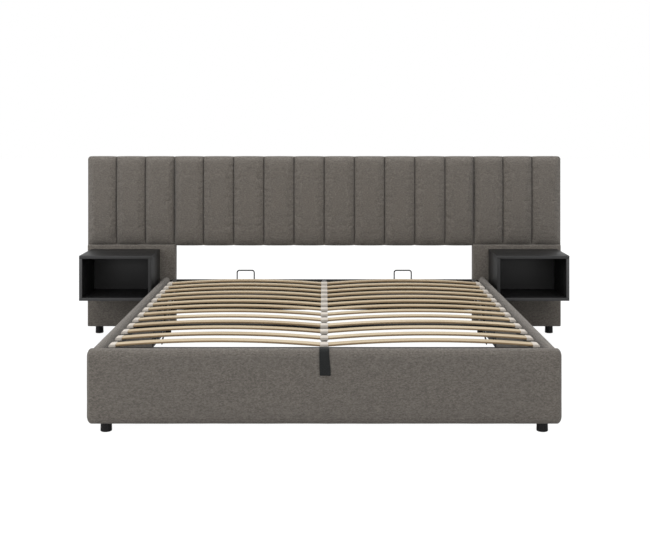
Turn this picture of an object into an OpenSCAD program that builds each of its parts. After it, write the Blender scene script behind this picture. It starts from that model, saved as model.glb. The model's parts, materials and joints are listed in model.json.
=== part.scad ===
// Upholstered lift-up storage bed with a wide channelled headboard and two
// open nightstands hung on its wings. Millimetres, Z up, origin on the floor at
// the middle of the bed's outline, +X to the right and +Y towards the head.

/* [Mattress] */
// Width of the mattress that the bed is made for
mattress_w = 1930; // [1500:10:2000]
// Length of the mattress
mattress_l = 2032; // [1900:2:2120]
// Room between the mattress and each side rail
side_room = 7; // [4:1:20]
// Room left along the bed between the mattress, footboard and headboard
end_room = 50; // [30:1:90]

/* [Box] */
// Height of the footboard above the floor
box_h = 360; // [345:1:420]
// How much lower the side rails are than the footboard
rail_drop = 2; // [0:1:10]
// Thickness of each side rail
rail_t = 50; // [36:1:70]
// Thickness of the footboard
footboard_t = 50; // [40:1:70]
// How far the footboard stands out past the rails
foot_lip = 2; // [0:1:10]
// Corner radius at the top of the footboard
foot_corner_r = 25; // [12:1:40]
// Radius of the upholstered long edges
edge_r = 10; // [4:1:16]
// Height of the feet
foot_h = 45; // [40:1:60]
// Diameter of the feet
foot_d = 50; // [30:1:60]

/* [Headboard] */
// Height of the headboard above the floor
head_h = 1122; // [900:1:1300]
// Width of each wing
wing_w = 557; // [520:1:640]
// How far each wing reaches inwards past the outside of the rail
wing_overlap = 82; // [60:1:120]
// Thickness of the headboard's boards
head_board_t = 48; // [30:1:60]
// Depth of the channelled pads on the boards
head_pad_t = 40; // [28:1:60]
// Height of the channelled pads
pad_h = 558; // [400:1:600]
// How far the plain lower panel of each wing stands out from its board
lower_panel_t = 24; // [12:1:27]
// Channels across the centre pad
centre_channels = 10; // [6:1:14]
// Width of the centre pad's first and last channel
end_channel_w = 177; // [140:1:210]
// Channels across each wing pad
wing_channels = 3; // [2:1:5]
// Depth of the sewn seams between the channels
seam_depth = 15; // [6:1:20]
// Width over which a pad rolls in at its outline
pad_roll = 30; // [15:1:45]
// How far each seam draws in a pad's upper and lower edge
seam_dip = 5; // [0:0.5:8]

/* [Nightstands] */
// How far each nightstand ends short of the wing's outer edge
stand_inset = 26; // [10:1:60]
// Height of each nightstand
stand_h = 270; // [200:1:290]
// Depth of each nightstand
stand_d = 345; // [280:1:400]
// Gap between a nightstand's top and the channels above it
stand_below = 28; // [15:1:60]
// Board thickness of the nightstands
stand_t = 18; // [12:1:25]
// Thickness of the nightstand's back
stand_back_t = 6; // [3:1:12]
// Gap between the rail and the nightstand
stand_gap = 16; // [8:1:40]

/* [Platform] */
// Outer size of the square steel tube
tube = 25; // [20:1:30]
// Wall of the steel tube
tube_wall = 1.5; // [1:0.1:2]
// Outside corner radius of the steel tube
tube_r = 3; // [2.5:0.1:4]
// How far the platform tubes lie below the footboard's top
deck_drop = 4; // [2:1:20]
// Gap between a side tube and the rail
tube_side_gap = 29; // [10:1:36]
// Gap between the platform and the footboard
deck_foot_gap = 6; // [4:1:20]
// Gap between the platform and the headboard's face
deck_head_gap = 55; // [50:1:90]
// Distance from the platform's foot end to each cross tube, as a share
cross_places = [0.278, 0.718];
// Width of the centre tube
centre_tube_w = 27; // [25:1:40]

/* [Slats] */
// Rows of slats
slat_n = 13; // [8:1:13]
// Width of a slat
slat_w = 53; // [38:1:68]
// Thickness of a slat
slat_t = 9; // [6:1:12]
// Rise of a slat's bow at its middle
slat_bow = 20; // [10:1:26]
// From the platform's foot end to the first slat's middle
slat_first = 41; // [35:1:120]
// From the last slat's middle to the platform's head end
slat_last = 228; // [60:1:300]
// Length of an outer slat cap
cap_l = 30; // [26:1:60]
// Depth to which a slat sits in its outer cap
cap_depth = 16; // [12:1:18]
// Wall of a cap around its slat
cap_wall = 2; // [1.5:0.5:5]
// Thickness of a cap's plastic over its slat, at its mouth
cap_roof = 2; // [1.5:0.5:5]
// Height of a slat's end above the tube
slat_rise = 2; // [1.5:0.5:6]
// Width of a centre cap
centre_cap_w = 36; // [34:1:50]
// Depth to which a slat sits in a centre cap
centre_cap_depth = 12; // [8:0.5:15]

/* [Retainers and strap] */
// Outer width of a mattress retainer
retainer_w = 114; // [80:1:200]
// Rod diameter of a retainer
retainer_d = 7.5; // [5:0.5:10]
// Height of a retainer above the platform tube
retainer_h = 60; // [50:1:120]
// Distance of each retainer from the middle of the bed
retainer_x = 490; // [200:5:700]
// Width of the lift strap
strap_w = 45; // [25:1:60]
// Thickness of the lift strap
strap_t = 2; // [1.5:0.1:3]
// How far the strap hangs below the footboard's top
strap_drop = 110; // [60:1:200]

/* [Lift] */
// Diameter of the pivot pins
pin_d = 10; // [8:0.5:12]
// Running clearance on the radius of a pin
pin_fit = 0.05; // [0.02:0.01:0.1]
// Extra radius of the open hole at the head of each control arm
open_fit = 1.1; // [0.9:0.1:1.5]
// Diameter of the gas strut's cylinder
strut_d = 16; // [14:0.5:16]
// Diameter of the gas strut's rod
strut_rod_d = 8; // [6:0.5:8]
// Angle at the main pivot between the strut's two ends when closed
strut_angle = 80; // [76:1:90]
// From the platform's head end to the lift arm's head pivot
head_pivot_in = 176; // [170:1:190]
// From the underside of the platform's tubes down to that pivot
head_pivot_drop = 21; // [20:1:24]
// Length along the bed between the two pivots of the lift arm
lift_arm_run = 197; // [190:1:204]
// Height between the two pivots of the lift arm
lift_arm_rise = 45; // [40:1:50]
// From the lift arm's head pivot along the bed to the control arm's two pivots
control_arm_runs = [35, 443];
// From the lift arm's head pivot down to the control arm's two pivots
control_arm_drops = [53, 220];

/* [Hidden] */
SLATS = [for (i = [1:slat_n]) str("slat_row_", i < 10 ? "0" : "", i)];

fabric = "#6a645d";
steel = "#2b2c2e";
zinc = "#8f9296";
charcoal = "#3a3a3c";
birch = "#cfc0a0";
cap_grey = "#c9c2b6";

// Distances along the bed, measured from the footboard's front face
rail_in = mattress_w / 2 + side_room;
rail_out = rail_in + rail_t;
box_half = rail_out + foot_lip;
head_face = footboard_t + mattress_l + end_room;
board_y = head_face + head_pad_t;
bed_l = board_y + head_board_t;
wing_y = board_y - lower_panel_t;
rail_top = box_h - rail_drop;

// Headboard
wing_in = rail_out - wing_overlap;
wing_out = wing_in + wing_w;
pad_z = head_h - pad_h;
board_gap = 1;
head_corner_r = 16;
pad_side_gap = 2;
pad_lip = 4;
panel_r = 8;
panel_gap = 4;
cross_t = 25;
cross_z0 = 155;
cross_z1 = box_h - 20;
plate = [120, 3, 60];
plate_rows = [0.15, 0.8];

// Platform
deck_top = box_h - deck_drop;
deck_z = deck_top - tube;
deck_y0 = footboard_t + deck_foot_gap;
deck_y1 = head_face - deck_head_gap;
tube_out = rail_in - tube_side_gap;
tube_in = tube_out - tube;

// Slats
slat_y0 = deck_y0 + slat_first;
slat_pitch = (deck_y1 - slat_last - slat_y0) / (slat_n - 1);
cap_out = tube_out - tube / 2 + cap_l / 2;
slat_x1 = cap_out - cap_l + cap_depth;
slat_x0 = centre_cap_w / 2 - centre_cap_depth;
slat_chord = slat_x1 - slat_x0;
slat_mid = (slat_x1 + slat_x0) / 2;
slat_r = slat_chord * slat_chord / (8 * slat_bow) + slat_bow / 2;
slat_z = deck_top + slat_rise;
slat_fit = 0.4;
function slat_lift(x) = 4 * slat_bow * x / slat_chord;
cap_h = slat_rise + slat_t + slat_fit + slat_lift(cap_depth) + cap_roof;
centre_cap_h = slat_rise + slat_t + slat_fit + slat_lift(centre_cap_depth) + cap_roof;
arc_fn = 1440;

// Lift linkage, as [along the bed, height]; the pivots keep their places
// relative to the platform's head end and the underside of its tubes
lift_arm_head = [deck_y1 - head_pivot_in, deck_z - head_pivot_drop];
lift_arm_foot = lift_arm_head - [lift_arm_run, lift_arm_rise];
control_arm_head = lift_arm_head - [control_arm_runs[0], control_arm_drops[0]];
control_arm_foot = lift_arm_head - [control_arm_runs[1], control_arm_drops[1]];
arm_run = lift_arm_head - lift_arm_foot;
arm_angle = atan2(arm_run[1], arm_run[0]);
strut_foot = lift_arm_foot + norm(arm_run) * [cos(arm_angle - strut_angle), sin(arm_angle - strut_angle)];
strut_run = lift_arm_head - strut_foot;
strut_l = norm(strut_run);
strut_dir = atan2(strut_run[1], strut_run[0]);
pin_r = pin_d / 2;
hole_r = pin_r + pin_fit;
head_r = pin_r + 3.5;
arm_r = pin_r + 9;
arm_body = 22;

// Places of the lift's flat parts across the bed, from the rail inwards
base_t = 4;
base_x = rail_in - base_t;
strut_x = base_x - 2 - strut_d / 2;
eye_t = 7;
main_t = 5;
main_x = strut_x - strut_d / 2 - 1.5 - main_t;
control_t = 4;
control_x = tube_in + 0.8;
plate_t = 4.5;
plate_x = tube_in - plate_t;
strut_body = [12, 232];
rod_l = 200;

// Fasteners and brackets
bolt_r = 4;
bolt_hole_r = 4.1;
bolt_l = 34;
bolt_head = [6.5, 5];
bolt_socket = [2.9, 3];
bracket_leg = 50;
bracket_t = 4;
foot_bracket_z = [90, 270];
head_bracket_z = [cross_z0 + 10, cross_z1 - 20];
bolt_inset = 30;
rest_rows = [100, 710, 1280];
rest_w = 40;
rest_t = 3;
rest_leg = 60;
rest_gap = 0.3;
plate_reach = [90, 100];
bend_r = 2;
base_bolts = [control_arm_foot + [42, 10], control_arm_foot + [102, 65],
              lift_arm_foot + [-4, -180], lift_arm_foot + [-4, -45]];
stand_bracket = [30, 100, 60];
stand_bracket_in = 70;
front_foot = [rail_in - 23, 40];
wing_foot_in = [57, 70];
wing_foot_x = [wing_in + wing_foot_in[0], wing_out - wing_foot_in[1]];

// One side of the bed is drawn on the right; the left one is its mirror image
module on_side(side) { if (side < 0) mirror([1, 0, 0]) children(); else children(); }
module both_sides() { for (s = [-1, 1]) on_side(s) children(); }
module from_foot() { translate([0, -bed_l / 2, 0]) children(); }

// A flat part standing along the bed, its outline drawn as [along, height]
module upright(x, t) { translate([x, 0, 0]) rotate([90, 0, 90]) linear_extrude(t) children(); }
// A flat part standing across the bed, its outline drawn as [across, height]
module across(y, t) { translate([0, y + t, 0]) rotate([90, 0, 0]) linear_extrude(t) children(); }
// A round part across the bed at a pivot
module pin(p, x0, x1, r) {
    translate([x0, p[0], p[1]]) rotate([0, 90, 0]) cylinder(r = r, h = x1 - x0, $fn = 48);
}

function arc(c, r, a0, a1, n = 6) = [for (i = [0:n])
    let (a = a0 + (a1 - a0) * i / n) c + r * [cos(a), sin(a)]];
// Rectangle with its own radius at each corner, from the lower left anticlockwise
function round_rect(lo, hi, r) = concat(
    arc([lo[0] + r[0], lo[1] + r[0]], r[0], 180, 270), arc([hi[0] - r[1], lo[1] + r[1]], r[1], 270, 360),
    arc([hi[0] - r[2], hi[1] - r[2]], r[2], 0, 90), arc([lo[0] + r[3], hi[1] - r[3]], r[3], 90, 180));

// Outline with each corner rounded by its own radius, or left sharp where that is 0
function eased(p, r, n = 4) = let (k = len(p)) [for (i = [0:k - 1])
    let (c = p[i], u = p[(i + k - 1) % k] - c, v = p[(i + 1) % k] - c, q = is_list(r) ? r[i] : r,
        d = u / norm(u), e = v / norm(v), h = acos(d * e) / 2,
        m = c + (d + e) / norm(d + e) * q / sin(h), s = c + d * q / tan(h) - m, f = c + e * q / tan(h) - m,
        a = atan2(s[1], s[0]), turn = atan2(s[0] * f[1] - s[1] * f[0], s * f))
    each q == 0 ? [c] : arc(m, q, a, a + turn, n)];

// Section of a bent steel angle, its two legs along -X and -Y from the bend
function angle_section(a, b, t) = eased([[0, 0], [-a, 0], [-a, -t], [-t, -t], [-t, -b], [0, -b]],
    [t + bend_r, 1, 1, bend_r, 1, 1]);

// Rectangle with round corners, from the origin
module rounded_square(size, r) {
    translate([r, 0]) square([size[0] - 2 * r, size[1]]);
    translate([0, r]) square([size[0], size[1] - 2 * r]);
    for (x = [r, size[0] - r], y = [r, size[1] - r]) translate([x, y]) circle(r = r, $fn = 24);
}

// Board that is rounded in its face and in its section
module soft_board(x0, x1, z0, z1, y0, y1, face_r, section_r) {
    intersection() {
        across(y0 - 1, y1 - y0 + 2) polygon(round_rect([x0, z0], [x1, z1], face_r));
        upright(x0 - 1, x1 - x0 + 2) polygon(round_rect([y0, z0], [y1, z1], section_r));
    }
}

// Channelled pad: its height above the board at each point of a grid
channel_steps = [0, 0.04, 0.12, 0.26, 0.5, 0.74, 0.88, 0.96];
roll_steps = [0, 0.08, 0.25, 0.55, 1];
function roll(d) = d >= pad_roll ? 1 : sqrt(max(0, 1 - pow(1 - d / pad_roll, 2)));
function lobe(u) = sqrt(max(0, 1 - pow(abs(2 * u - 1), 3)));
function pad_depth(u, dx, dz) = pad_lip
    + roll(dx) * roll(dz) * (head_pad_t - pad_lip - seam_depth * (1 - lobe(u)));

// Place of a pad's point in its outline: the seams draw the upper and lower edge in, and the
// upper corner at x1 has the radius r
function pad_place(x, u, z, x1, r) = let (s = r - (x1 - x), t = r - (pad_h - z),
    k = s > 0 && t > 0 ? 1 - max(s, t) / norm([s, t]) : 0,
    dip = 1 - 2 * seam_dip / pad_h * (1 - lobe(u)))
    [x - s * k, pad_z + pad_h / 2 + (z - pad_h / 2) * dip - t * k];

// seams lists the pad's two sides and the seams between them
module channel_pad(seams, corner_r = 0) {
    x0 = seams[0];
    x1 = seams[len(seams) - 1];
    cols = concat([for (c = [0:len(seams) - 2], u = channel_steps)
        [seams[c] + (seams[c + 1] - seams[c]) * u, u]], [[x1, 0]]);
    rows = concat([for (s = roll_steps) s * pad_roll],
        [for (i = [4:-1:0]) pad_h - roll_steps[i] * pad_roll]);
    nx = len(cols);
    nz = len(rows);
    face = [for (z = rows, c = cols) let (place = pad_place(c[0], c[1], z, x1, corner_r)) [place[0],
        board_y - pad_depth(c[1], min(c[0] - x0, x1 - c[0]), min(z, pad_h - z)), place[1]]];
    ring = concat([for (i = [0:nx - 1]) i], [for (j = [1:nz - 1]) j * nx + nx - 1],
        [for (i = [nx - 2:-1:0]) (nz - 1) * nx + i], [for (j = [nz - 2:-1:1]) j * nx]);
    n = len(ring);
    points = concat(face, [for (k = ring) [face[k][0], board_y, face[k][2]]]);
    front = [for (j = [0:nz - 2], i = [0:nx - 2]) let (a = j * nx + i, d = a + nx)
        each [[a, d, d + 1], [a, d + 1, a + 1]]];
    b = nx * nz;
    sides = [for (k = [0:n - 1]) let (m = (k + 1) % n)
        each [[ring[k], ring[m], b + m], [ring[k], b + m, b + k]]];
    // The flat back, in long strips between its lower and upper edges and a fan at each end
    low = [for (i = [0:nx - 1]) b + i];
    high = [for (i = [0:nx - 1]) b + 2 * nx + nz - 3 - i];
    right = [for (j = [0:nz - 1]) b + nx - 1 + j];
    left = concat([b], [for (j = [1:nz - 1]) b + 2 * nx + 2 * nz - 4 - j]);
    back = concat(
        [for (i = [1:nx - 3]) each [[low[i], low[i + 1], high[i + 1]], [low[i], high[i + 1], high[i]]]],
        [for (j = [0:nz - 2]) [low[1], left[j + 1], left[j]]], [[low[1], high[1], high[0]]],
        [for (j = [0:nz - 2]) [low[nx - 2], right[j], right[j + 1]]],
        [[low[nx - 2], high[nx - 1], high[nx - 2]]]);
    polyhedron(points = points, faces = concat(front, sides, back), convexity = 10);
}

module plate_recess(z) {
    translate([wing_in - plate[0] / 2, bed_l - plate[1], z - plate[2] / 2])
        cube([plate[0], plate[1] + 1, plate[2]]);
}

module headboard_centre_board() {
    color(fabric) from_foot() difference() {
        across(board_y, head_board_t) polygon(round_rect([-wing_in + board_gap, pad_z],
            [wing_in - board_gap, head_h], [2, 2, 2, 2]));
        both_sides() for (k = plate_rows) plate_recess(pad_z + k * pad_h);
    }
}

module headboard_centre_pad() {
    half = wing_in - pad_side_gap;
    run = half - end_channel_w;
    inner = centre_channels - 2;
    color(fabric) from_foot()
        channel_pad(concat([-half], [for (c = [0:inner]) run * (2 * c / inner - 1)], [half]));
}

// The wing's board with the plain panel below its channels, in section
function wing_section() = concat(
    arc([wing_y + panel_r, foot_h + panel_r], panel_r, 180, 270), arc([bed_l - 6, foot_h + 6], 6, 270, 360),
    arc([bed_l - 6, head_h - 6], 6, 0, 90), [[board_y, head_h], [board_y, pad_z - panel_gap]],
    arc([wing_y + panel_r, pad_z - panel_gap - panel_r], panel_r, 90, 180));

module wing_board(side) {
    color(fabric) from_foot() on_side(side) difference() {
        intersection() {
            upright(wing_in - 1, wing_w + 2) polygon(wing_section());
            across(wing_y - 1, bed_l - wing_y + 2) polygon(round_rect([wing_in, foot_h], [wing_out, head_h],
                [6, 8, head_corner_r, 2]));
        }
        for (k = plate_rows) plate_recess(pad_z + k * pad_h);
        for (z = bolt_rows(head_bracket_z)) translate([head_bolt_x, 0, z]) bolt_hole(wing_y - 1, 12);
    }
}

module wing_pad(side) {
    x0 = wing_in + pad_side_gap;
    color(fabric) from_foot() on_side(side)
        channel_pad([for (c = [0:wing_channels]) x0 + (wing_out - x0) * c / wing_channels], head_corner_r);
}

module headboard_plates() {
    color(steel) from_foot() both_sides() for (k = plate_rows)
        translate([wing_in - plate[0] / 2 + 0.5, bed_l - plate[1], pad_z + k * pad_h - plate[2] / 2 + 0.5])
            cube([plate[0] - 1, plate[1], plate[2] - 1]);
}

// A hole for a bolt, its axis along the bed
module bolt_hole(y, l) {
    translate([0, y, 0]) rotate([-90, 0, 0]) cylinder(r = bolt_hole_r, h = l, $fn = 32);
}
// A hole for a bolt in a rail's inner face
module rail_hole(p) { pin(p, rail_in - 1, rail_in + bolt_l - base_t, bolt_hole_r); }

foot_bolt_y = footboard_t + 32;
head_bolt_y = wing_y - cross_t - 32;
foot_bolt_x = rail_in - 30;
head_bolt_x = rail_in - 18;
function bolt_rows(z) = [z[0] + bolt_inset, z[1] - bolt_inset];

module head_crossboard() {
    color(steel) from_foot() difference() {
        across(wing_y - cross_t, cross_t)
            polygon(round_rect([-rail_in, cross_z0], [rail_in, cross_z1], [1, 1, 2, 2]));
        both_sides() for (z = bolt_rows(head_bracket_z)) translate([head_bolt_x, 0, z])
            bolt_hole(wing_y - cross_t - 1, cross_t + 2);
    }
}

module rail(side) {
    color(fabric) from_foot() on_side(side) difference() {
        across(footboard_t, wing_y - footboard_t)
            polygon(round_rect([rail_in, foot_h], [rail_out, rail_top],
                [edge_r, edge_r, rail_t * 0.4, edge_r]));
        for (z = bolt_rows(foot_bracket_z)) rail_hole([foot_bolt_y, z]);
        for (z = bolt_rows(head_bracket_z)) rail_hole([head_bolt_y, z]);
        for (p = base_bolts) rail_hole(p);
    }
}

module footboard() {
    color(fabric) from_foot() difference() {
        soft_board(-box_half, box_half, foot_h, box_h, 0, footboard_t,
            [foot_corner_r / 2, foot_corner_r / 2, foot_corner_r, foot_corner_r],
            [edge_r, edge_r, edge_r, edge_r]);
        both_sides() for (z = bolt_rows(foot_bracket_z)) translate([foot_bolt_x, 0, z])
            bolt_hole(footboard_t + bracket_t - bolt_l, bolt_l);
    }
}

// Angle under each side tube that the closed platform rests on
module rest_brackets() {
    color(steel) from_foot() both_sides() for (y = rest_rows) across(footboard_t + y - rest_w / 2, rest_w)
        translate([rail_in, deck_z - rest_gap])
            polygon(angle_section(rail_in - tube_in - 4, rest_leg, rest_t));
}

// Steel angles in the four inner corners of the box
module corner_angle(y, dir, bolt_y, bolt_x, span) {
    difference() {
        translate([rail_in, y, span[0]]) linear_extrude(span[1] - span[0])
            polygon([for (p = angle_section(bracket_leg, bracket_leg, bracket_t)) [p[0], -dir * p[1]]]);
        for (z = bolt_rows(span)) {
            pin([bolt_y, z], rail_in - bracket_t - 1, rail_in + 1, bolt_hole_r);
            translate([bolt_x, 0, z]) bolt_hole(y - bracket_t - 1, 2 * bracket_t + 2);
        }
    }
}

module corner_brackets() {
    color(steel) from_foot() both_sides() {
        corner_angle(footboard_t, 1, foot_bolt_y, foot_bolt_x, foot_bracket_z);
        corner_angle(wing_y - cross_t, -1, head_bolt_y, head_bolt_x, head_bracket_z);
    }
}

// Button-head bolt with a hexagon socket; its shank runs up from the head's seat
module bolt(l) {
    r = bolt_head[0];
    h = bolt_head[1];
    difference() {
        union() {
            cylinder(r = bolt_r, h = l, $fn = 32);
            rotate_extrude($fn = 48)
                polygon(concat([[0, 0], [r, 0]], arc([r - 3, 3 - h], 3, 0, -90, 4), [[0, -h]]));
        }
        translate([0, 0, -h - 1]) cylinder(r = bolt_socket[0], h = bolt_socket[1] + 1, $fn = 6);
    }
}
module bolt_x(p, x, l) { translate([x, p[0], p[1]]) rotate([0, 90, 0]) bolt(l); }
module bolt_y(x, y, z, dir, l) { translate([x, y, z]) rotate([dir > 0 ? -90 : 90, 0, 0]) bolt(l); }

module frame_bolts() {
    seat = rail_in - bracket_t;
    color(zinc) from_foot() both_sides() {
        for (z = bolt_rows(foot_bracket_z)) {
            bolt_x([foot_bolt_y, z], seat, bolt_l - 2);
            bolt_y(foot_bolt_x, footboard_t + bracket_t, z, -1, bolt_l - 2);
        }
        for (z = bolt_rows(head_bracket_z)) {
            bolt_x([head_bolt_y, z], seat, bolt_l - 2);
            bolt_y(head_bolt_x, wing_y - cross_t - bracket_t, z, 1, bolt_l + 4);
        }
        for (p = base_bolts) bolt_x(p, base_x, bolt_l - 2);
    }
}

module foot(x, y) {
    translate([x, y, 0]) rotate_extrude($fn = 64) polygon(concat([[0, 0]],
        arc([foot_d / 2 - 4, 4], 4, 270, 360), [[foot_d / 2 - 1, foot_h], [0, foot_h]]));
}

module front_feet() { color(steel) from_foot() both_sides() foot(front_foot[0], front_foot[1]); }
module wing_feet() {
    color(steel) from_foot() both_sides() for (x = wing_foot_x) foot(x, (wing_y + bed_l) / 2);
}

// Nightstand boards, all placed from the corner nearest the rail
stand_x0 = rail_out + stand_gap;
stand_x1 = wing_out - stand_inset;
stand_y0 = wing_y - stand_d;
stand_z1 = pad_z - stand_below;
stand_z = stand_z1 - stand_h;
module stand_board(side, lo, hi) {
    color(charcoal) from_foot() on_side(side) translate(lo) cube(hi - lo);
}
module nightstand_top(side) {
    stand_board(side, [stand_x0, stand_y0, stand_z1 - stand_t], [stand_x1, wing_y, stand_z1]);
}
module nightstand_bottom(side) {
    stand_board(side, [stand_x0, stand_y0, stand_z], [stand_x1, wing_y, stand_z + stand_t]);
}
module nightstand_inner_side(side) {
    stand_board(side, [stand_x0, stand_y0, stand_z + stand_t],
        [stand_x0 + stand_t, wing_y, stand_z1 - stand_t]);
}
module nightstand_outer_side(side) {
    stand_board(side, [stand_x1 - stand_t, stand_y0, stand_z + stand_t],
        [stand_x1, wing_y, stand_z1 - stand_t]);
}
module nightstand_back(side) {
    stand_board(side, [stand_x0 + stand_t, wing_y - stand_back_t, stand_z + stand_t],
        [stand_x1 - stand_t, wing_y, stand_z1 - stand_t]);
}

// Steel angles that carry the nightstands from the wings' lower panels
module nightstand_brackets() {
    places = [stand_x0 + stand_bracket_in, stand_x1 - stand_bracket_in];
    color(steel) from_foot() both_sides() for (x = places)
        upright(x - stand_bracket[0] / 2, stand_bracket[0]) translate([wing_y, stand_z])
            polygon(angle_section(stand_bracket[1], stand_bracket[2], rest_t));
}

// Lift mechanism
module base_plates() {
    a = control_arm_foot;
    b = strut_foot;
    c = lift_arm_foot;
    m = 26;
    color(steel) from_foot() both_sides() upright(base_x, base_t) difference() {
        polygon(eased([[a[0] - m, a[1] - m], [b[0] + m, b[1] - 20], [b[0] + m, b[1] + m],
            [c[0] + m, c[1] - m], [c[0] + m, c[1] + m], [c[0] - m, c[1] + m], [a[0] - m, a[1] + m]], 12));
        for (p = [a, b, c]) translate(p) circle(r = hole_r, $fn = 48);
        for (p = base_bolts) translate(p) circle(r = bolt_hole_r, $fn = 32);
    }
}

// Stepped pin fixed in the base plate: tail, collar, bearing and head
module base_pin(p, collar_x, bearing_x) {
    pin(p, base_x, rail_in - 0.5, pin_r);
    pin(p, collar_x, base_x - 0.1, head_r - 1);
    pin(p, base_x - 0.2, base_x + 0.1, pin_r);
    pin(p, bearing_x - 0.3, collar_x + 0.1, pin_r);
    pin(p, bearing_x - 3.3, bearing_x - 0.3, head_r);
}

module base_pivot_pins() {
    color(zinc) from_foot() both_sides() {
        base_pin(lift_arm_foot, main_x + main_t + 0.5, main_x);
        base_pin(control_arm_foot, control_x + control_t + 0.5, control_x);
        base_pin(strut_foot, strut_x + eye_t / 2 + 0.5, strut_x - eye_t / 2);
    }
}

// Arm with an eye at each end
module arm(x, t, p, q, p_hole, q_hole) {
    d = (q - p) / norm(q - p);
    n = [-d[1], d[0]] * arm_body / 2;
    upright(x, t) difference() {
        union() {
            translate(p) circle(r = arm_r, $fn = 48);
            translate(q) circle(r = arm_r, $fn = 48);
            polygon([p - n, q - n, q + n, p + n]);
        }
        translate(p) circle(r = p_hole, $fn = 48);
        translate(q) circle(r = q_hole, $fn = 48);
    }
}

module lift_arm(side) {
    color(steel) from_foot() on_side(side)
        arm(main_x, main_t, lift_arm_foot, lift_arm_head, hole_r, hole_r);
}
module control_arm(side) {
    color(steel) from_foot() on_side(side)
        arm(control_x, control_t, control_arm_foot, control_arm_head, hole_r, pin_r + open_fit);
}

module platform_plates() {
    a = lift_arm_head;
    b = control_arm_head;
    color(steel) from_foot() both_sides() upright(plate_x, plate_t) difference() {
        union() {
            translate(a) circle(r = arm_r, $fn = 48);
            translate(b) circle(r = arm_r, $fn = 48);
            polygon(eased([[a[0] - plate_reach[0], deck_z + 18], [a[0] - plate_reach[0], deck_z - 2],
                [b[0] - 12, b[1] + 6], [b[0] - 6, b[1] - 8], [b[0] + 9, b[1] - 8], [a[0] + 11, a[1] - 5],
                [a[0] + plate_reach[1], deck_z - 2], [a[0] + plate_reach[1], deck_z + 18]],
                [6, 8, 0, 0, 0, 0, 8, 6]));
        }
        for (p = [a, b]) translate(p) circle(r = hole_r, $fn = 48);
    }
}

module platform_pivot_pins() {
    color(zinc) from_foot() both_sides() {
        pin(lift_arm_head, plate_x - 3.2, plate_x - 0.2, head_r);
        pin(lift_arm_head, plate_x - 0.3, strut_x + eye_t / 2 + 0.5, pin_r);
        pin(lift_arm_head, plate_x + plate_t + 0.2, main_x - 0.5, head_r - 1);
        pin(lift_arm_head, main_x + main_t + 0.5, strut_x - eye_t / 2 - 0.5, head_r - 1);
        pin(lift_arm_head, strut_x + eye_t / 2 + 0.4, strut_x + strut_d / 2 - 1, head_r - 1);
        pin(control_arm_head, plate_x - 3.2, plate_x - 0.2, head_r);
        pin(control_arm_head, plate_x - 0.3, control_x + control_t + 0.4, pin_r);
        pin(control_arm_head, control_x + control_t + 0.3, main_x - 0.5, head_r);
    }
}

// Strut parts lie along Z from the foot pivot and are turned into place
module along_strut() {
    translate([strut_x, strut_foot[0], strut_foot[1]]) rotate([strut_dir - 90, 0, 0]) children();
}
module eye(z) {
    translate([-eye_t / 2, 0, z]) rotate([0, 90, 0]) cylinder(r = pin_r + 4.5, h = eye_t, $fn = 48);
}
module eye_hole(z) {
    translate([-eye_t, 0, z]) rotate([0, 90, 0]) cylinder(r = hole_r, h = 2 * eye_t, $fn = 48);
}

// Half section of the strut's cylinder: round bottom, a rolled groove and a turned-in mouth
function strut_section(r, z0, z1) = concat([[0, z0]], arc([r - 3, z0 + 3], 3, 270, 360, 4),
    [[r, z1 - 18], [r - 0.8, z1 - 16.5], [r - 0.8, z1 - 15], [r, z1 - 13.5]],
    arc([r - 2, z1 - 2], 2, 0, 90, 3), [[0, z1]]);

module strut_cylinder(side) {
    color(steel) from_foot() on_side(side) along_strut() difference() {
        union() {
            eye(0);
            translate([0, 0, pin_r + 2]) cylinder(r = eye_t / 2 - 0.2, h = strut_body[0] - pin_r, $fn = 32);
            rotate_extrude($fn = 64) polygon(strut_section(strut_d / 2, strut_body[0], strut_body[1]));
        }
        eye_hole(0);
        translate([0, 0, strut_l - rod_l - 15])
            cylinder(r = strut_rod_d / 2 + pin_fit, h = strut_l, $fn = 48);
    }
}

module strut_rod(side) {
    color(zinc) from_foot() on_side(side) along_strut() difference() {
        union() {
            eye(strut_l);
            translate([0, 0, strut_l - rod_l]) cylinder(d = strut_rod_d, h = rod_l - pin_r - 4, $fn = 48);
        }
        eye_hole(strut_l);
    }
}

// Steel tubes of the platform
module tube_section(w) {
    difference() {
        rounded_square([w, tube], tube_r);
        translate([tube_wall, tube_wall])
            rounded_square([w - 2 * tube_wall, tube - 2 * tube_wall], tube_r - tube_wall);
    }
}
module tube_y(x, y0, y1, w) { across(y0, y1 - y0) translate([x, deck_z]) tube_section(w); }
module tube_x(x0, x1, y) { upright(x0, x1 - x0) translate([y, deck_z]) tube_section(tube); }

module side_tubes() { color(steel) from_foot() both_sides() tube_y(tube_in, deck_y0, deck_y1, tube); }
module end_tubes() {
    color(steel) from_foot() for (y = [deck_y0, deck_y1 - tube]) tube_x(-tube_in, tube_in, y);
}
module centre_tube() {
    color(steel) from_foot() tube_y(-centre_tube_w / 2, deck_y0 + tube, deck_y1 - tube, centre_tube_w);
}
module cross_tubes() {
    color(steel) from_foot() both_sides() for (k = cross_places)
        tube_x(centre_tube_w / 2, tube_in, deck_y0 + k * (deck_y1 - deck_y0) - tube / 2);
}

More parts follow.
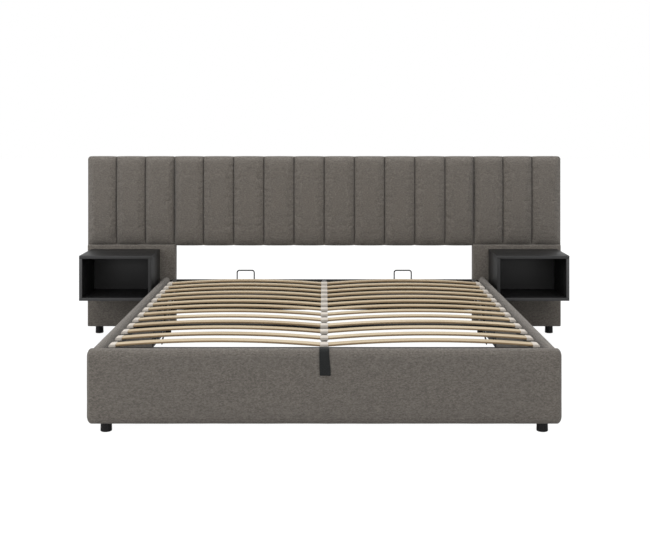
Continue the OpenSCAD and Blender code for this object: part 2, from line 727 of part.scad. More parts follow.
// Bowed slat, with room added all round when it cuts its caps
module slat(y, grow) {
    translate([slat_mid, y + slat_w / 2 + grow, slat_z + slat_bow - slat_r]) rotate([90, 0, 0])
        intersection() {
            difference() {
                cylinder(r = slat_r + slat_t + grow, h = slat_w + 2 * grow, $fn = arc_fn);
                translate([0, 0, -1]) cylinder(r = slat_r - grow, h = slat_w + 2 * grow + 2, $fn = arc_fn);
            }
            translate([-slat_chord / 2 - grow, slat_r / 2, -1])
                cube([slat_chord + 2 * grow, slat_r, slat_w + 2 * grow + 2]);
        }
}
function slat_y(i) = slat_y0 + i * slat_pitch;

module slat_row(i) { color(birch) from_foot() both_sides() slat(slat_y(i), 0); }

cap_w = slat_w + 2 * cap_wall;
cap_corner = 3;
cap_end_r = 8;
cap_end_drop = 2.5;

// Moulded cap: its outline across the bed, with the upper edges rounded along the bed too
module cap_body(i, x0, x1, h, outline) {
    y0 = slat_y(i) - cap_w / 2;
    y1 = y0 + cap_w;
    intersection() {
        across(y0, cap_w) polygon([for (p = outline) [x0 + p[0], deck_top + p[1]]]);
        upright(x0 - 1, x1 - x0 + 2) polygon(eased([[y0, deck_top - 1], [y1, deck_top - 1],
            [y1, deck_top + h], [y0, deck_top + h]], [0, 0, cap_corner, cap_corner], 3));
    }
}

module outer_slat_caps() {
    r = cap_end_r;
    outline = concat([[0, 0], [cap_l - 2, 0], [cap_l, 2]],
        arc([cap_l - r, cap_h - cap_end_drop - r], r, 0, 90), [[1.5, cap_h], [0, cap_h - 1.5]]);
    color(cap_grey) from_foot() both_sides() for (i = [0:slat_n - 1]) difference() {
        cap_body(i, cap_out - cap_l, cap_out, cap_h, outline);
        slat(slat_y(i), slat_fit);
    }
}
module centre_slat_caps() {
    w = centre_cap_w;
    h = centre_cap_h;
    color(cap_grey) from_foot() for (i = [0:slat_n - 1]) difference() {
        cap_body(i, -w / 2, w / 2, h, eased([[0, 0], [w, 0], [w, h], [0, h]], [0, 0, 1.2, 1.2]));
        both_sides() slat(slat_y(i), slat_fit);
    }
}

// Round steel rod bent into a U that stops the mattress at the head
module mattress_retainers() {
    r = retainer_d / 2;
    bend = 14;
    half = retainer_w / 2 - r;
    color(steel) from_foot() both_sides() translate([retainer_x, deck_y1 - tube / 2, deck_top]) {
        for (s = [-1, 1]) translate([s * half, 0, 0]) cylinder(r = r, h = retainer_h - r - bend, $fn = 32);
        translate([-half + bend, 0, retainer_h - r]) rotate([0, 90, 0])
            cylinder(r = r, h = 2 * (half - bend), $fn = 32);
        for (s = [0, 1]) mirror([s, 0, 0]) translate([half - bend, 0, retainer_h - r - bend])
            rotate([90, 0, 0]) rotate_extrude(angle = 90, $fn = 64)
                translate([bend, 0]) circle(r = r, $fn = 32);
    }
}

// Webbing strap over the footboard, as a band of even thickness in section
module lift_strap() {
    g = 0.8;
    t = strap_t;
    k = 0.586 * edge_r + g;
    a = footboard_t;
    top = box_h + g;
    tab_end = slat_y(0) - cap_w / 2 - 0.5;
    inner = [[tab_end, deck_top + 0.3], [deck_y0 + 1, deck_top + 0.3], [a - 3, top], [k - g, top],
        [-g, top - k], [-g, box_h - strap_drop]];
    outer = [[-g - t, box_h - strap_drop], [-g - t, top - k + 0.4 * t], [k - g - 0.4 * t, top + t],
        [a - 3 + 0.4 * t, top + t], [deck_y0 + 1 + 0.4 * t, deck_top + 0.3 + t],
        [tab_end, deck_top + 0.3 + t]];
    color("#26282a") from_foot() upright(-strap_w / 2, strap_w) polygon(concat(inner, outer));
}

headboard_centre_board();
headboard_centre_pad();
wing_board(-1);  // left_wing_board
wing_pad(-1);  // left_wing_pad
wing_board(1);  // right_wing_board
wing_pad(1);  // right_wing_pad
head_crossboard();
headboard_plates();
rail(-1);  // left_rail
rail(1);  // right_rail
footboard();
rest_brackets();
corner_brackets();
frame_bolts();
front_feet();
wing_feet();
nightstand_top(-1);  // left_nightstand_top
nightstand_bottom(-1);  // left_nightstand_bottom
nightstand_inner_side(-1);  // left_nightstand_inner_side
nightstand_outer_side(-1);  // left_nightstand_outer_side
nightstand_back(-1);  // left_nightstand_back
nightstand_top(1);  // right_nightstand_top
nightstand_bottom(1);  // right_nightstand_bottom
nightstand_inner_side(1);  // right_nightstand_inner_side
nightstand_outer_side(1);  // right_nightstand_outer_side
nightstand_back(1);  // right_nightstand_back
nightstand_brackets();
base_plates();
base_pivot_pins();
lift_arm(-1);  // left_lift_arm
lift_arm(1);  // right_lift_arm
control_arm(-1);  // left_control_arm
control_arm(1);  // right_control_arm
side_tubes();
end_tubes();
centre_tube();
cross_tubes();
platform_plates();
platform_pivot_pins();
mattress_retainers();
lift_strap();
outer_slat_caps();
centre_slat_caps();
strut_cylinder(-1);  // left_strut_cylinder
strut_cylinder(1);  // right_strut_cylinder
strut_rod(-1);  // left_strut_rod
strut_rod(1);  // right_strut_rod
for (i = [0:slat_n - 1]) slat_row(i);
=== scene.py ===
# %% [markdown]
# # A lift-up storage bed with a channelled headboard and hung nightstands
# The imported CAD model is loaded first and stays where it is. Every piece made here is dressed
# over it in metres, so a piece goes where the CAD says, and rides on the body it belongs to.

# %% Load the frame
import json
import math

import bmesh
import bpy
import numpy as np
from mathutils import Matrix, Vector, noise

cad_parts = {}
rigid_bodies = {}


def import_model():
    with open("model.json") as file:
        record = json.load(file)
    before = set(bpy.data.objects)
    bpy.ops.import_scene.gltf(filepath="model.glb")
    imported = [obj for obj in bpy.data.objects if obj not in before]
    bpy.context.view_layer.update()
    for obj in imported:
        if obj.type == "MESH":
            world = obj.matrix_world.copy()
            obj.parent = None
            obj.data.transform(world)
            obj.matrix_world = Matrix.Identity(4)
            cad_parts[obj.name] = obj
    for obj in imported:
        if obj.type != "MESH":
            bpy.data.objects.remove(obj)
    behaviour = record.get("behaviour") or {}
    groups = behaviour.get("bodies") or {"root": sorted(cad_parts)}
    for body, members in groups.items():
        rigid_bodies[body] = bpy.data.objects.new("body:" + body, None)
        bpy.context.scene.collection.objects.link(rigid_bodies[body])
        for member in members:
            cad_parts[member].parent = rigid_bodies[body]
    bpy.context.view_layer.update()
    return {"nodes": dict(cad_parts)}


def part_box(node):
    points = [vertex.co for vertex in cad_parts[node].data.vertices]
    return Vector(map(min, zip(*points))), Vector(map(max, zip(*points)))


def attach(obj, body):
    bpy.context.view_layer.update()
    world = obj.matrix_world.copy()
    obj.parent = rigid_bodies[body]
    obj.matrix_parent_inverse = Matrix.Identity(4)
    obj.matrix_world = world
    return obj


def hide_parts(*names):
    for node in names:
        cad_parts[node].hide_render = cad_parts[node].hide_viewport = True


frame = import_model()
nodes = frame["nodes"]

# %% [markdown]
# ## Camera
# The photograph is taken from the foot, level, with the view shifted down so that the uprights
# stay upright. Tilting the camera would make them lean. The distance, eye height and lens were
# solved from the rails and the feet.

# %% Camera
def add_object(name, data):
    """Put a mesh, camera or lamp into the scene as an object at the origin."""
    added = bpy.data.objects.new(name, data)
    bpy.context.collection.objects.link(added)
    return added


lens_data = bpy.data.cameras.new("camera")
lens_data.sensor_width = 36.0
lens_data.lens = 59.4
lens_data.shift_x = 0.0012
lens_data.shift_y = -156.5 / 650
camera = add_object("camera", lens_data)
camera.location = (0.0, -5.740, 1.357)
camera.rotation_euler = (math.radians(90), 0, 0)
bpy.context.scene.camera = camera
print("camera", tuple(round(v, 3) for v in camera.location), "lens", lens_data.lens)

# %% [markdown]
# ## Finishes
# Each finish is a small node tree on the Principled shader. Trees can be built node by node, but
# a few short helpers keep them readable: `wire` adds a node and sets or links its inputs,
# `weighted` adds up patterns, `ramp` gives them colours and `blend` lays one colour on another.

# %% Helpers for node trees
def wire(tree, kind, inputs=None, **settings):
    """Add a node; a socket given as an input is linked, and anything else is its value."""
    node = tree.nodes.new(kind)
    for key, value in settings.items():
        setattr(node, key, value)
    for key, value in (inputs or {}).items():
        if isinstance(value, bpy.types.NodeSocket):
            tree.links.new(value, node.inputs[key])
        else:
            node.inputs[key].default_value = value
    return node


def calc(tree, operation, a, b=0.0):
    return wire(tree, "ShaderNodeMath", {0: a, 1: b}, operation=operation).outputs[0]


def weighted(tree, *terms):
    """The sum of (socket, weight) terms."""
    parts = [calc(tree, "MULTIPLY", socket, weight) for socket, weight in terms]
    total = parts[0]
    for part in parts[1:]:
        total = calc(tree, "ADD", total, part)
    return total


def ramp(tree, fac, *stops):
    """A colour ramp from (place, grey or colour) stops."""
    node = wire(tree, "ShaderNodeValToRGB", {"Fac": fac})
    marks = node.color_ramp.elements
    while len(marks) < len(stops):
        marks.new(0.5)
    for mark, (place, tone) in zip(marks, stops):
        mark.position = place
        mark.color = (*((tone,) * 3 if isinstance(tone, float) else tone), 1)
    return node.outputs["Color"]


def blend(tree, share, under, over, blend_type="MIX"):
    """A colour laid over another one by a share of 0 to 1."""
    return wire(tree, "ShaderNodeMix", {0: share, 6: under, 7: over},
                data_type="RGBA", blend_type=blend_type).outputs[2]


# %% [markdown]
# ### One class for every finish
# All finishes need the same things: a shader, patterns in Object coordinates, and links to colour,
# roughness and bump. Object coordinates are metres here, so a scale is in features per metre, and
# a pattern keeps its true size on every piece.

# %% The Finish class
class Finish:
    """A material with its Principled shader and its object coordinates at hand."""

    def __init__(self, name, roughness, metallic=0.0, specular=0.5, **sockets):
        self.material = bpy.data.materials.new(name)
        self.material.use_nodes = True
        self.tree = self.material.node_tree
        self.shader = self.tree.nodes["Principled BSDF"]
        self.shader.inputs["Roughness"].default_value = roughness
        self.shader.inputs["Metallic"].default_value = metallic
        self.shader.inputs["Specular IOR Level"].default_value = specular
        for key, value in sockets.items():
            self.shader.inputs[key.replace("_", " ")].default_value = value
        self.place = wire(self.tree, "ShaderNodeTexCoord").outputs["Object"]

    def stretched(self, x, y, z):
        """The coordinates scaled on each axis; a small scale draws the pattern out along it."""
        return wire(self.tree, "ShaderNodeMapping", {"Vector": self.place, "Scale": (x, y, z)}).outputs[0]

    def noise(self, scale, detail=2.0, roughness=0.5, at=None):
        return wire(self.tree, "ShaderNodeTexNoise", {"Vector": at or self.place, "Scale": scale,
                    "Detail": detail, "Roughness": roughness}).outputs["Fac"]

    def waves(self, axis, pitch, distortion=0.0):
        """Sine bands across one axis; at a scale s they repeat every pi / (10 s) metres."""
        return wire(self.tree, "ShaderNodeTexWave", {"Vector": self.place, "Scale": math.pi / 10 / pitch,
                    "Distortion": distortion}, bands_direction=axis).outputs["Fac"]

    def attribute(self, name):
        return wire(self.tree, "ShaderNodeAttribute", attribute_name=name).outputs["Fac"]

    def colour(self, socket):
        self.tree.links.new(socket, self.shader.inputs["Base Color"])

    def rough(self, socket):
        self.tree.links.new(socket, self.shader.inputs["Roughness"])

    def bump(self, *layers):
        """Bump from (height socket, depth in metres) layers, one on another."""
        normal = None
        for height, depth in layers:
            node = wire(self.tree, "ShaderNodeBump", {"Height": height, "Distance": depth, "Strength": 1.0})
            if normal:
                self.tree.links.new(normal, node.inputs["Normal"])
            normal = node.outputs["Normal"]
        self.tree.links.new(normal, self.shader.inputs["Normal"])


# %% [markdown]
# ### Upholstery
# The cover is a chunky heathered weave: dark, middle and pale taupe-grey yarns twisted together,
# so the tone changes every few millimetres. Noise at two scales gives the heather. The basket
# weave is the product of sine bands, taken pair by pair so that it shows on every face. The pads
# carry an attribute of painted shade that darkens the cloth in their seams and along their bottom.

# %% Upholstery
WEAVE_PITCH = 0.0034
YARN_DARK, YARN_MID, YARN_PALE = (0.074, 0.066, 0.057), (0.140, 0.125, 0.109), (0.228, 0.206, 0.181)
# Painted shade: the colour that the pads' seams and bottom edge are darkened towards.
PAINTED_SHADE_TONE = (0.020, 0.017, 0.014, 1)


def make_upholstery(name):
    f = Finish(name, roughness=0.92, specular=0.25, Sheen_Weight=0.18, Sheen_Roughness=0.5)
    t = f.tree
    across, deep, upright = [f.waves(axis, WEAVE_PITCH, 0.6) for axis in "XYZ"]
    weave = calc(t, "MULTIPLY", across, upright)
    weave = calc(t, "ADD", weave, calc(t, "MULTIPLY", across, deep))
    weave = calc(t, "ADD", weave, calc(t, "MULTIPLY", deep, upright))
    fleck = f.noise(420, 3.0, 0.7)
    cloud = f.noise(150, 3.0, 0.6, at=f.stretched(0.7, 1, 1.3))
    tone = weighted(t, (fleck, 0.42), (cloud, 0.58), (weave, 0.05))
    yarn = ramp(t, tone, (0.34, YARN_DARK), (0.52, YARN_MID), (0.70, YARN_PALE))
    # Painted shade: the stored attribute darkens the yarn in the seams and along the pads' bottom.
    f.colour(blend(t, f.attribute("crease"), yarn, PAINTED_SHADE_TONE))
    f.bump((cloud, 0.0009), (fleck, 0.0006), (weave, 0.0007))
    return f.material


upholstery = make_upholstery("heathered_upholstery")
print("upholstery:", len(upholstery.node_tree.nodes), "nodes")

# %% [markdown]
# ### Nightstand laminate
# The nightstands wear a near-black laminate with a faint wood grain. Noise drawn out along one
# axis gives the grain, and a finer one its pores. The faces that look to the foot are paler,
# which is painted light: a painted reflection on the edge bands and painted light on the front of
# the back. An attribute, band, says how much of that painted light a face takes, so one finish serves a
# whole board.

# %% Nightstand laminate
FACE_DARK, FACE_MID, FACE_PALE = (0.003, 0.003, 0.0032), (0.0085, 0.0085, 0.0088), (0.022, 0.021, 0.021)
# The paler grey of the painted light on faces that look to the foot.
PAINTED_LIGHT_TONE = (0.062, 0.062, 0.063, 1)


def make_laminate(name, axis_scale):
    f = Finish(name, roughness=0.46, specular=0.34)
    grain = f.noise(38, 5.0, 0.65, at=f.stretched(*axis_scale))
    pores = f.noise(260, 3.0, 0.6, at=f.stretched(*axis_scale))
    both = weighted(f.tree, (grain, 0.5), (pores, 0.5))
    face = ramp(f.tree, both, (0.34, FACE_DARK), (0.52, FACE_MID), (0.70, FACE_PALE))
    # Painted light: faces are blended towards the paler grey by their share in band.
    f.colour(blend(f.tree, f.attribute("band"), face, PAINTED_LIGHT_TONE))
    f.rough(ramp(f.tree, grain, (0.3, 0.40), (0.7, 0.56)))
    f.bump((pores, 0.00018), (grain, 0.00015))
    return f.material


laminate_across = make_laminate("laminate_grain_across", (0.06, 1, 1))
laminate_along = make_laminate("laminate_grain_upright", (1, 1, 0.06))
print("laminates:", laminate_across.name, laminate_along.name)

# %% [markdown]
# ### Coats, plastics and thread
# The platform, its plates, the bolts and the mattress retainers are coated black. The pins, the
# struts' rods and the joining plates' screws are zinc, and caps, feet and plugs are moulded
# plastic. The strap's thread and the board across the head end are black. Each is one colour that
# drifts a little, under a fine texture, so one function makes them all and its values differ.

# %% Coats, plastics and thread
def make_moulded(name, tone, roughness, texture, depth, drift=0.12, metallic=0.0, specular=0.5):
    """One colour that drifts, with a texture of so many bumps per metre and that depth."""
    f = Finish(name, roughness, metallic, specular)
    deeper, paler = [tuple(c * (1 + way * drift) for c in tone) for way in (-1, 1)]
    f.colour(ramp(f.tree, f.noise(14, 3.0), (0.3, deeper), (0.7, paler)))
    f.rough(ramp(f.tree, f.noise(60, 4.0, 0.7), (0.3, roughness - 0.06), (0.7, roughness + 0.08)))
    f.bump((f.noise(texture, 2.0), depth))
    return f.material


powder_coat = make_moulded("black_powder_coat", (0.012, 0.012, 0.0125), 0.5, 1100, 0.00016, specular=0.35)
rod_coat = make_moulded("black_rod_coat", (0.004, 0.004, 0.0042), 0.6, 1400, 0.00010, specular=0.14)
zinc = make_moulded("zinc_plate", (0.56, 0.57, 0.585), 0.32, 500, 0.00004, 0.06, metallic=1.0)
foot_plastic = make_moulded("foot_plastic", (0.006, 0.006, 0.0065), 0.5, 1500, 0.00010, specular=0.22)
cap_plastic = make_moulded("cap_plastic", (0.54, 0.495, 0.44), 0.5, 1200, 0.00008, 0.05, specular=0.25)
thread_black = make_moulded("black_thread", (0.030, 0.031, 0.033), 0.7, 2400, 0.00006, specular=0.2)
black_board = make_moulded("black_board", (0.008, 0.0075, 0.007), 0.7, 700, 0.00012, specular=0.2)
print("coats, plastics and thread made")

# %% [markdown]
# ### Birch plywood
# A slat is lacquered birch plywood: long grain on its faces, and pale and dark plies on its
# edges, which are darker overall than the faces: real plies and painted shade between the slats.
# The trees that make and set out the slats store how deep each point lies in the plywood,
# how near it is to the side, and a tone for each slat. The finish reads these, because the slats
# are bowed and stripes in straight coordinates would run out of the wood.

# %% Birch
WOOD_DARK, WOOD_MID, WOOD_PALE = (0.335, 0.258, 0.164), (0.448, 0.366, 0.250), (0.53, 0.446, 0.322)
GLUE, VENEER, PLIES = (0.46, 0.38, 0.30), (0.74, 0.65, 0.56), 3.5


def make_birch():
    f = Finish("lacquered_birch", roughness=0.55, specular=0.16)
    t = f.tree
    grain = f.noise(90, 6.0, 0.65, at=f.stretched(0.035, 1, 1))
    figure = f.noise(9, 3.0, 0.5, at=f.stretched(0.25, 1, 1))
    mixed = weighted(t, (grain, 0.55), (figure, 0.30), (f.attribute("slat_tone"), 0.15))
    face = ramp(t, mixed, (0.30, WOOD_DARK), (0.48, WOOD_MID), (0.66, WOOD_PALE))
    layer = calc(t, "FRACT", calc(t, "MULTIPLY", f.attribute("ply"), PLIES))
    plies = ramp(t, layer, (0.0, GLUE), (0.42, VENEER), (0.58, VENEER), (1.0, GLUE))
    # The plies darken the face colour on a slat's sides: real plies, and painted shade between the slats.
    side = blend(t, 1.0, face, plies, "MULTIPLY")
    on_side = ramp(t, f.attribute("on_side"), (0.45, 0.0), (0.55, 1.0))
    f.colour(blend(t, on_side, face, side))
    f.bump((grain, 0.00012))
    return f.material


birch = make_birch()
print("birch:", len(birch.node_tree.nodes), "nodes")

# %% [markdown]
# ### Webbing
# Black polyester webbing has ribs along its length and a slanting pick across them. Two sets of
# sine bands multiplied give that in a few nodes, for colour and bump alike.

# %% Webbing
RIB, PICK = 0.0024, 0.0016


def make_webbing():
    f = Finish("black_webbing", roughness=0.8, specular=0.2, Sheen_Weight=0.05)
    weave = calc(f.tree, "MULTIPLY", f.waves("X", RIB), f.waves("DIAGONAL", PICK))
    f.colour(ramp(f.tree, weave, (0.0, (0.009, 0.0097, 0.0098)), (0.6, (0.023, 0.025, 0.0245)),
                  (1.0, (0.042, 0.045, 0.044))))
    f.bump((weave, 0.0007), (f.noise(900), 0.0002))
    return f.material


webbing = make_webbing()
print("webbing:", len(webbing.node_tree.nodes), "nodes")

# %% [markdown]
# ## Mesh helpers
# Boards and plates look real when light catches their edges. A CAD node has sharp ones, and its
# mesh is loose triangles. So `merged` copies and joins it, `merge_flats` turns its triangles into
# whole faces, `eased_mesh` bevels its edges, and `softened` makes it a piece. The CAD object
# itself is never changed. `plain_piece` turns points and faces into a piece, for all that isn't
# cut from the CAD.

# %% Mesh helpers
def plain_piece(name, points, faces, finish):
    mesh = bpy.data.meshes.new(name)
    mesh.from_pydata([tuple(p) for p in points], [], faces)
    mesh.materials.append(finish)
    mesh.update()
    mesh.shade_smooth()
    return add_object(name, mesh)


def dress(piece, body, slot, *cad_nodes):
    """Ride on a body and stand for CAD nodes; slot is not used."""
    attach(piece, body)
    if cad_nodes:
        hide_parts(*cad_nodes)
    return piece


def merged(node):
    """A copy of a CAD node's mesh for editing, its loose triangles joined."""
    bm = bmesh.new()
    bm.from_mesh(nodes[node].data)
    bmesh.ops.remove_doubles(bm, verts=bm.verts, dist=1e-5)
    return bm


def merge_flats(bm):
    """Dissolve the edges between triangles that lie in one face."""
    bmesh.ops.dissolve_limit(bm, angle_limit=math.radians(1), verts=bm.verts, edges=bm.edges)


def eased_mesh(bm, name, width, segments, bevel_from, crisp_from):
    """Bevel the edges that turn by more than bevel_from degrees, and shade smooth up to crisp_from."""
    sharp = [e for e in bm.edges if e.is_manifold and e.calc_face_angle(0) > math.radians(bevel_from)]
    bmesh.ops.bevel(bm, geom=sharp, offset=width, offset_type="OFFSET", segments=segments, profile=0.5,
                    affect="EDGES", clamp_overlap=True)
    mesh = bpy.data.meshes.new(name)
    bm.to_mesh(mesh)
    bm.free()
    mesh.shade_smooth()
    mesh.set_sharp_from_angle(angle=math.radians(crisp_from))
    return mesh


def softened(node, finish, width, body, slot, segments=2):
    bm = merged(node)
    merge_flats(bm)
    mesh = eased_mesh(bm, node + "_eased", width, segments, bevel_from=32, crisp_from=35)
    mesh.materials.append(finish)
    return dress(add_object(mesh.name, mesh), body, slot, node)


# %% [markdown]
# ## Nightstands
# Each box is five laminated boards with the grain running along each board. The boards keep the
# CAD's size, and their edges are eased by less than a millimetre, as edge banding is. Each board
# has its own share of painted light, a paler grey on the faces that look to the foot.

# %% Nightstands
EDGE_BAND = 0.0009
# Each board's finish, and its share of painted light on the faces that look to the foot.
BOARDS = {"top": (laminate_across, 0.45), "bottom": (laminate_across, 0.55),
          "inner_side": (laminate_along, 0.20), "outer_side": (laminate_along, 1.0),
          "back": (laminate_across, 1.0)}
for side in ("left", "right"):
    for board, (finish, share) in BOARDS.items():
        piece = softened(f"{side}_nightstand_{board}", finish, EDGE_BAND, "bedstead", "nightstand_board")
        # Painted light: the faces that look to the foot take the board's share.
        band = piece.data.attributes.new("band", "FLOAT", "FACE")
        to_foot = [p.normal.y < -0.7 for p in piece.data.polygons]
        band.data.foreach_set("value", [share * seen for seen in to_foot])
print("nightstand boards:", 2 * len(BOARDS))

# %% [markdown]
# ## Steel of the platform and the lift
# Square tube is rolled, so its corners are round; laser-cut plates only lose their burr. Both are
# bevels, of different widths. Struts, pins, bolts, retainers and feet are round and need none:
# they keep their CAD mesh and only get a finish.

# %% Steel
TUBE_CORNER, BURR, BOARD_EDGE = 0.0022, 0.0005, 0.0012
PLATES = {"platform": ("platform_plates",),
          "bedstead": ("rest_brackets", "corner_brackets", "nightstand_brackets", "base_plates",
                       "headboard_plates"),
          "lift_arms": ("left_lift_arm", "right_lift_arm"),
          "control_arms": ("left_control_arm", "right_control_arm")}
ROUND_PARTS = {"left_strut_cylinder": powder_coat, "right_strut_cylinder": powder_coat,
               "left_strut_rod": zinc, "right_strut_rod": zinc, "frame_bolts": powder_coat,
               "base_pivot_pins": zinc, "platform_pivot_pins": zinc, "mattress_retainers": rod_coat,
               "front_feet": foot_plastic, "wing_feet": foot_plastic}
for node in ("side_tubes", "end_tubes", "centre_tube", "cross_tubes"):
    softened(node, powder_coat, TUBE_CORNER, "platform", "black_steel", 3)
for body, plates in PLATES.items():
    for node in plates:
        softened(node, powder_coat, BURR, body, "black_steel", 1)
softened("head_crossboard", black_board, BOARD_EDGE, "bedstead", "black_board")
for node, finish in ROUND_PARTS.items():
    nodes[node].data.materials.clear()
    nodes[node].data.materials.append(finish)
print("steel dressed; round parts with their CAD mesh:", len(ROUND_PARTS))

# %% [markdown]
# ## Upholstered boards
# Rails, footboard and the wings' lower panels are boards with thin foam and cloth pulled round
# them. A plain box is too hard for that, and a bevel makes round corners only. This builder lays
# a lattice over the box, turns its edges into quarter-ellipses, swells each face a little towards
# its middle, and adds the slow ripple that stretched cloth has.

# %% A board wrapped in cloth
SLOW_RIPPLE, QUICK_RIPPLE = 9, 31


def stations(lo, hi, r, step):
    """Lattice lines: even ones between the rounded ends, and ends that make even arcs."""
    turn = [math.tan(math.radians(a)) * r for a in (45, 36, 27, 18, 9)]
    count = max(1, round((hi - lo - 2 * r) / step))
    middle = [lo + r + (hi - lo - 2 * r) * i / count for i in range(count + 1)]
    return np.array([lo + r - d for d in turn] + middle + [hi - r + d for d in reversed(turn)])


def upholstered_board(name, lo, hi, round_off, swell, step=0.03, ripple=0.0006):
    """A box with elliptic edges; round_off and swell give a size for each axis."""
    lo, hi, r, swell = (np.array(v, float) for v in (lo, hi, round_off, swell))
    mid, half = (lo + hi) / 2, (hi - lo) / 2
    lines = [stations(lo[a], hi[a], r[a], step) for a in range(3)]
    count = [len(line) for line in lines]
    index, points, faces = {}, [], []

    def corner(key):
        if key in index:
            return index[key]
        p = np.array([lines[a][key[a]] for a in range(3)])
        inner = np.clip(p, lo + r, hi - r)
        n = (p - inner) / r
        n /= np.linalg.norm(n)
        u = np.clip((p - mid) / half, -1, 1)
        bulge = [1 - u[a] ** 4 for a in range(3)]
        rise = sum(swell[a] * n[a] ** 2 * np.prod([bulge[b] for b in range(3) if b != a]) for a in range(3))
        wave = ripple * noise.noise(Vector(p * SLOW_RIPPLE))
        wave += 0.35 * ripple * noise.noise(Vector(p * QUICK_RIPPLE))
        facing = np.argmax(abs(n))
        from_edge = float(min(1 - abs(u[b]) for b in range(3) if b != facing))
        index[key] = len(points)
        points.append(inner + r * n + n * (rise + wave * min(1.0, 4 * from_edge)))
        return index[key]

    for a in range(3):
        b, c = (a + 1) % 3, (a + 2) % 3
        for end in (0, count[a] - 1):
            for i in range(count[b] - 1):
                for j in range(count[c] - 1):
                    ring = []
                    for di, dj in ((0, 0), (1, 0), (1, 1), (0, 1)):
                        key = [0, 0, 0]
                        key[a], key[b], key[c] = end, i + di, j + dj
                        ring.append(corner(tuple(key)))
                    faces.append(ring if end else ring[::-1])
    return plain_piece(name, points, faces, upholstery)


# %% [markdown]
# ### Footboard and rails
# The footboard has the thicker foam: in the photograph it is a few millimetres wider and lower
# than its CAD box. A rail keeps its size and only has a soft top edge. So the footboard's box is
# grown before it is wrapped, and the rails' boxes aren't.

# %% Footboard and rails
FOOT_GROW, FOOT_DROP = (0.0054, -0.0012, 0.002), 0.0075
FOOT_ROUND, RAIL_ROUND = (0.020, 0.022, 0.036), (0.0235, 0.006, 0.033)
lo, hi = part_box("footboard")
lo, hi = [lo[a] - FOOT_GROW[a] for a in range(3)], [hi[a] + FOOT_GROW[a] for a in range(3)]
lo[2] -= FOOT_DROP
footboard = upholstered_board("footboard_cover", lo, hi, FOOT_ROUND, (0, 0.002, 0))
dress(footboard, "bedstead", "upholstery", "footboard")
for side in ("left", "right"):
    lo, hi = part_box(f"{side}_rail")
    rail = upholstered_board(f"{side}_rail_cover", lo, hi, RAIL_ROUND, (0.001, 0, 0))
    dress(rail, "bedstead", "upholstery", f"{side}_rail")
print("footboard and rails:", len(footboard.data.polygons), len(rail.data.polygons), "faces")

# %% [markdown]
# ## Headboard
# The wings' boards are wrapped in cloth too. Above, they only carry the channelled pads; below,
# each has a plain panel down to its feet, which stands a little proud of the board. The backs
# stop short of the CAD's, so that the steel joining plates lie on the cloth and not in it.

# %% Wing and centre boards
SEAM_Z = 0.5625
LET_IN, TOP_IN = 0.0016, 0.006
BACK_DEPTH, OVERLAP = 0.048, 0.004
PANEL_ROUND, BACK_ROUND, CENTRE_ROUND = (0.008, 0.012, 0.008), (0.014, 0.006, 0.014), (0.004, 0.006, 0.012)
BACK_STEP, BACK_RIPPLE = 0.05, 0.0004
for side in ("left", "right"):
    lo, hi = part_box(f"{side}_wing_board")
    panel = upholstered_board(f"{side}_wing_panel", lo, (hi[0], hi[1] - LET_IN, SEAM_Z),
                              PANEL_ROUND, (0, 0.003, 0))
    dress(panel, "bedstead", "upholstery", f"{side}_wing_board")
    back = upholstered_board(f"{side}_wing_back", (lo[0], hi[1] - BACK_DEPTH, SEAM_Z - OVERLAP),
                             (hi[0], hi[1] - LET_IN, hi[2] - TOP_IN), BACK_ROUND, (0, 0, 0),
                             step=BACK_STEP, ripple=BACK_RIPPLE)
    dress(back, "bedstead", "upholstery")
lo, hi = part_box("headboard_centre_board")
back = upholstered_board("headboard_centre_back", lo, (hi[0], hi[1] - LET_IN, hi[2] - TOP_IN),
                         CENTRE_ROUND, (0, 0, 0), step=BACK_STEP, ripple=BACK_RIPPLE)
dress(back, "bedstead", "upholstery", "headboard_centre_board")
print("wing panels and backs wrapped; the last has", len(back.data.polygons), "faces")

# %% [markdown]
# ### Channelled pads
# A real channelled pad is foam under one cloth, sewn down to the board along straight seams. It
# could be modelled as finished lobes, but then every channel looks turned on a lathe. So the cover
# starts as a sheet over slightly shallow lobes, and a cloth simulation blows it up. First come
# the columns and rows of that sheet, which are closer at the seams and follow the rolled edges.

# %% The space and the columns of a pad
ROLL, TOP_ROLL, BASE_ROLL = 0.030, 0.055, 0.092
JOINT, JOINT_ROLL = 0.948, 0.014
WING_TIP = 1.2
PAD_DROP = 0.009
FULLNESS, BUNCHED = 3.2, 0.45


def lobe(u):
    """The height of a channel's section, 0 at its seams and 1 in its middle."""
    return math.sqrt(max(0.0, 1 - abs(2 * u - 1) ** FULLNESS))


def arc_steps(*degrees):
    return [1 - math.cos(math.radians(t)) for t in degrees]


def pad_box(node):
    """The space of a pad: its CAD node's, a little lower, and with the centre's joints further out."""
    lo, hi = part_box(node)
    for corner in (lo, hi):
        if abs(corner[0]) < WING_TIP:
            corner[0] = math.copysign(JOINT, corner[0])
    lo[2] -= PAD_DROP
    return lo, hi


def pad_columns(seams, rolls, per_channel=26):
    """(x, share of the channel) of every column; the outermost ones follow the rolled edges."""
    columns = []
    for a, b in zip(seams, seams[1:]):
        for i in range(per_channel):
            u = i / per_channel
            u = (1 - BUNCHED) * u + BUNCHED * (1 - math.cos(math.pi * u)) / 2
            columns.append((a + (b - a) * u, u))
    columns.append((seams[-1], 1.0))
    arc = arc_steps(0, 18, 36, 54, 72, 90)
    first, last = seams[1] - seams[0], seams[-1] - seams[-2]
    middle = [c for c in columns if seams[0] + rolls[0] * 1.1 < c[0] < seams[-1] - rolls[1] * 1.1]
    return ([(seams[0] + d * rolls[0], d * rolls[0] / first) for d in arc] + middle
            + [(seams[-1] - d * rolls[1], 1 - d * rolls[1] / last) for d in reversed(arc)])


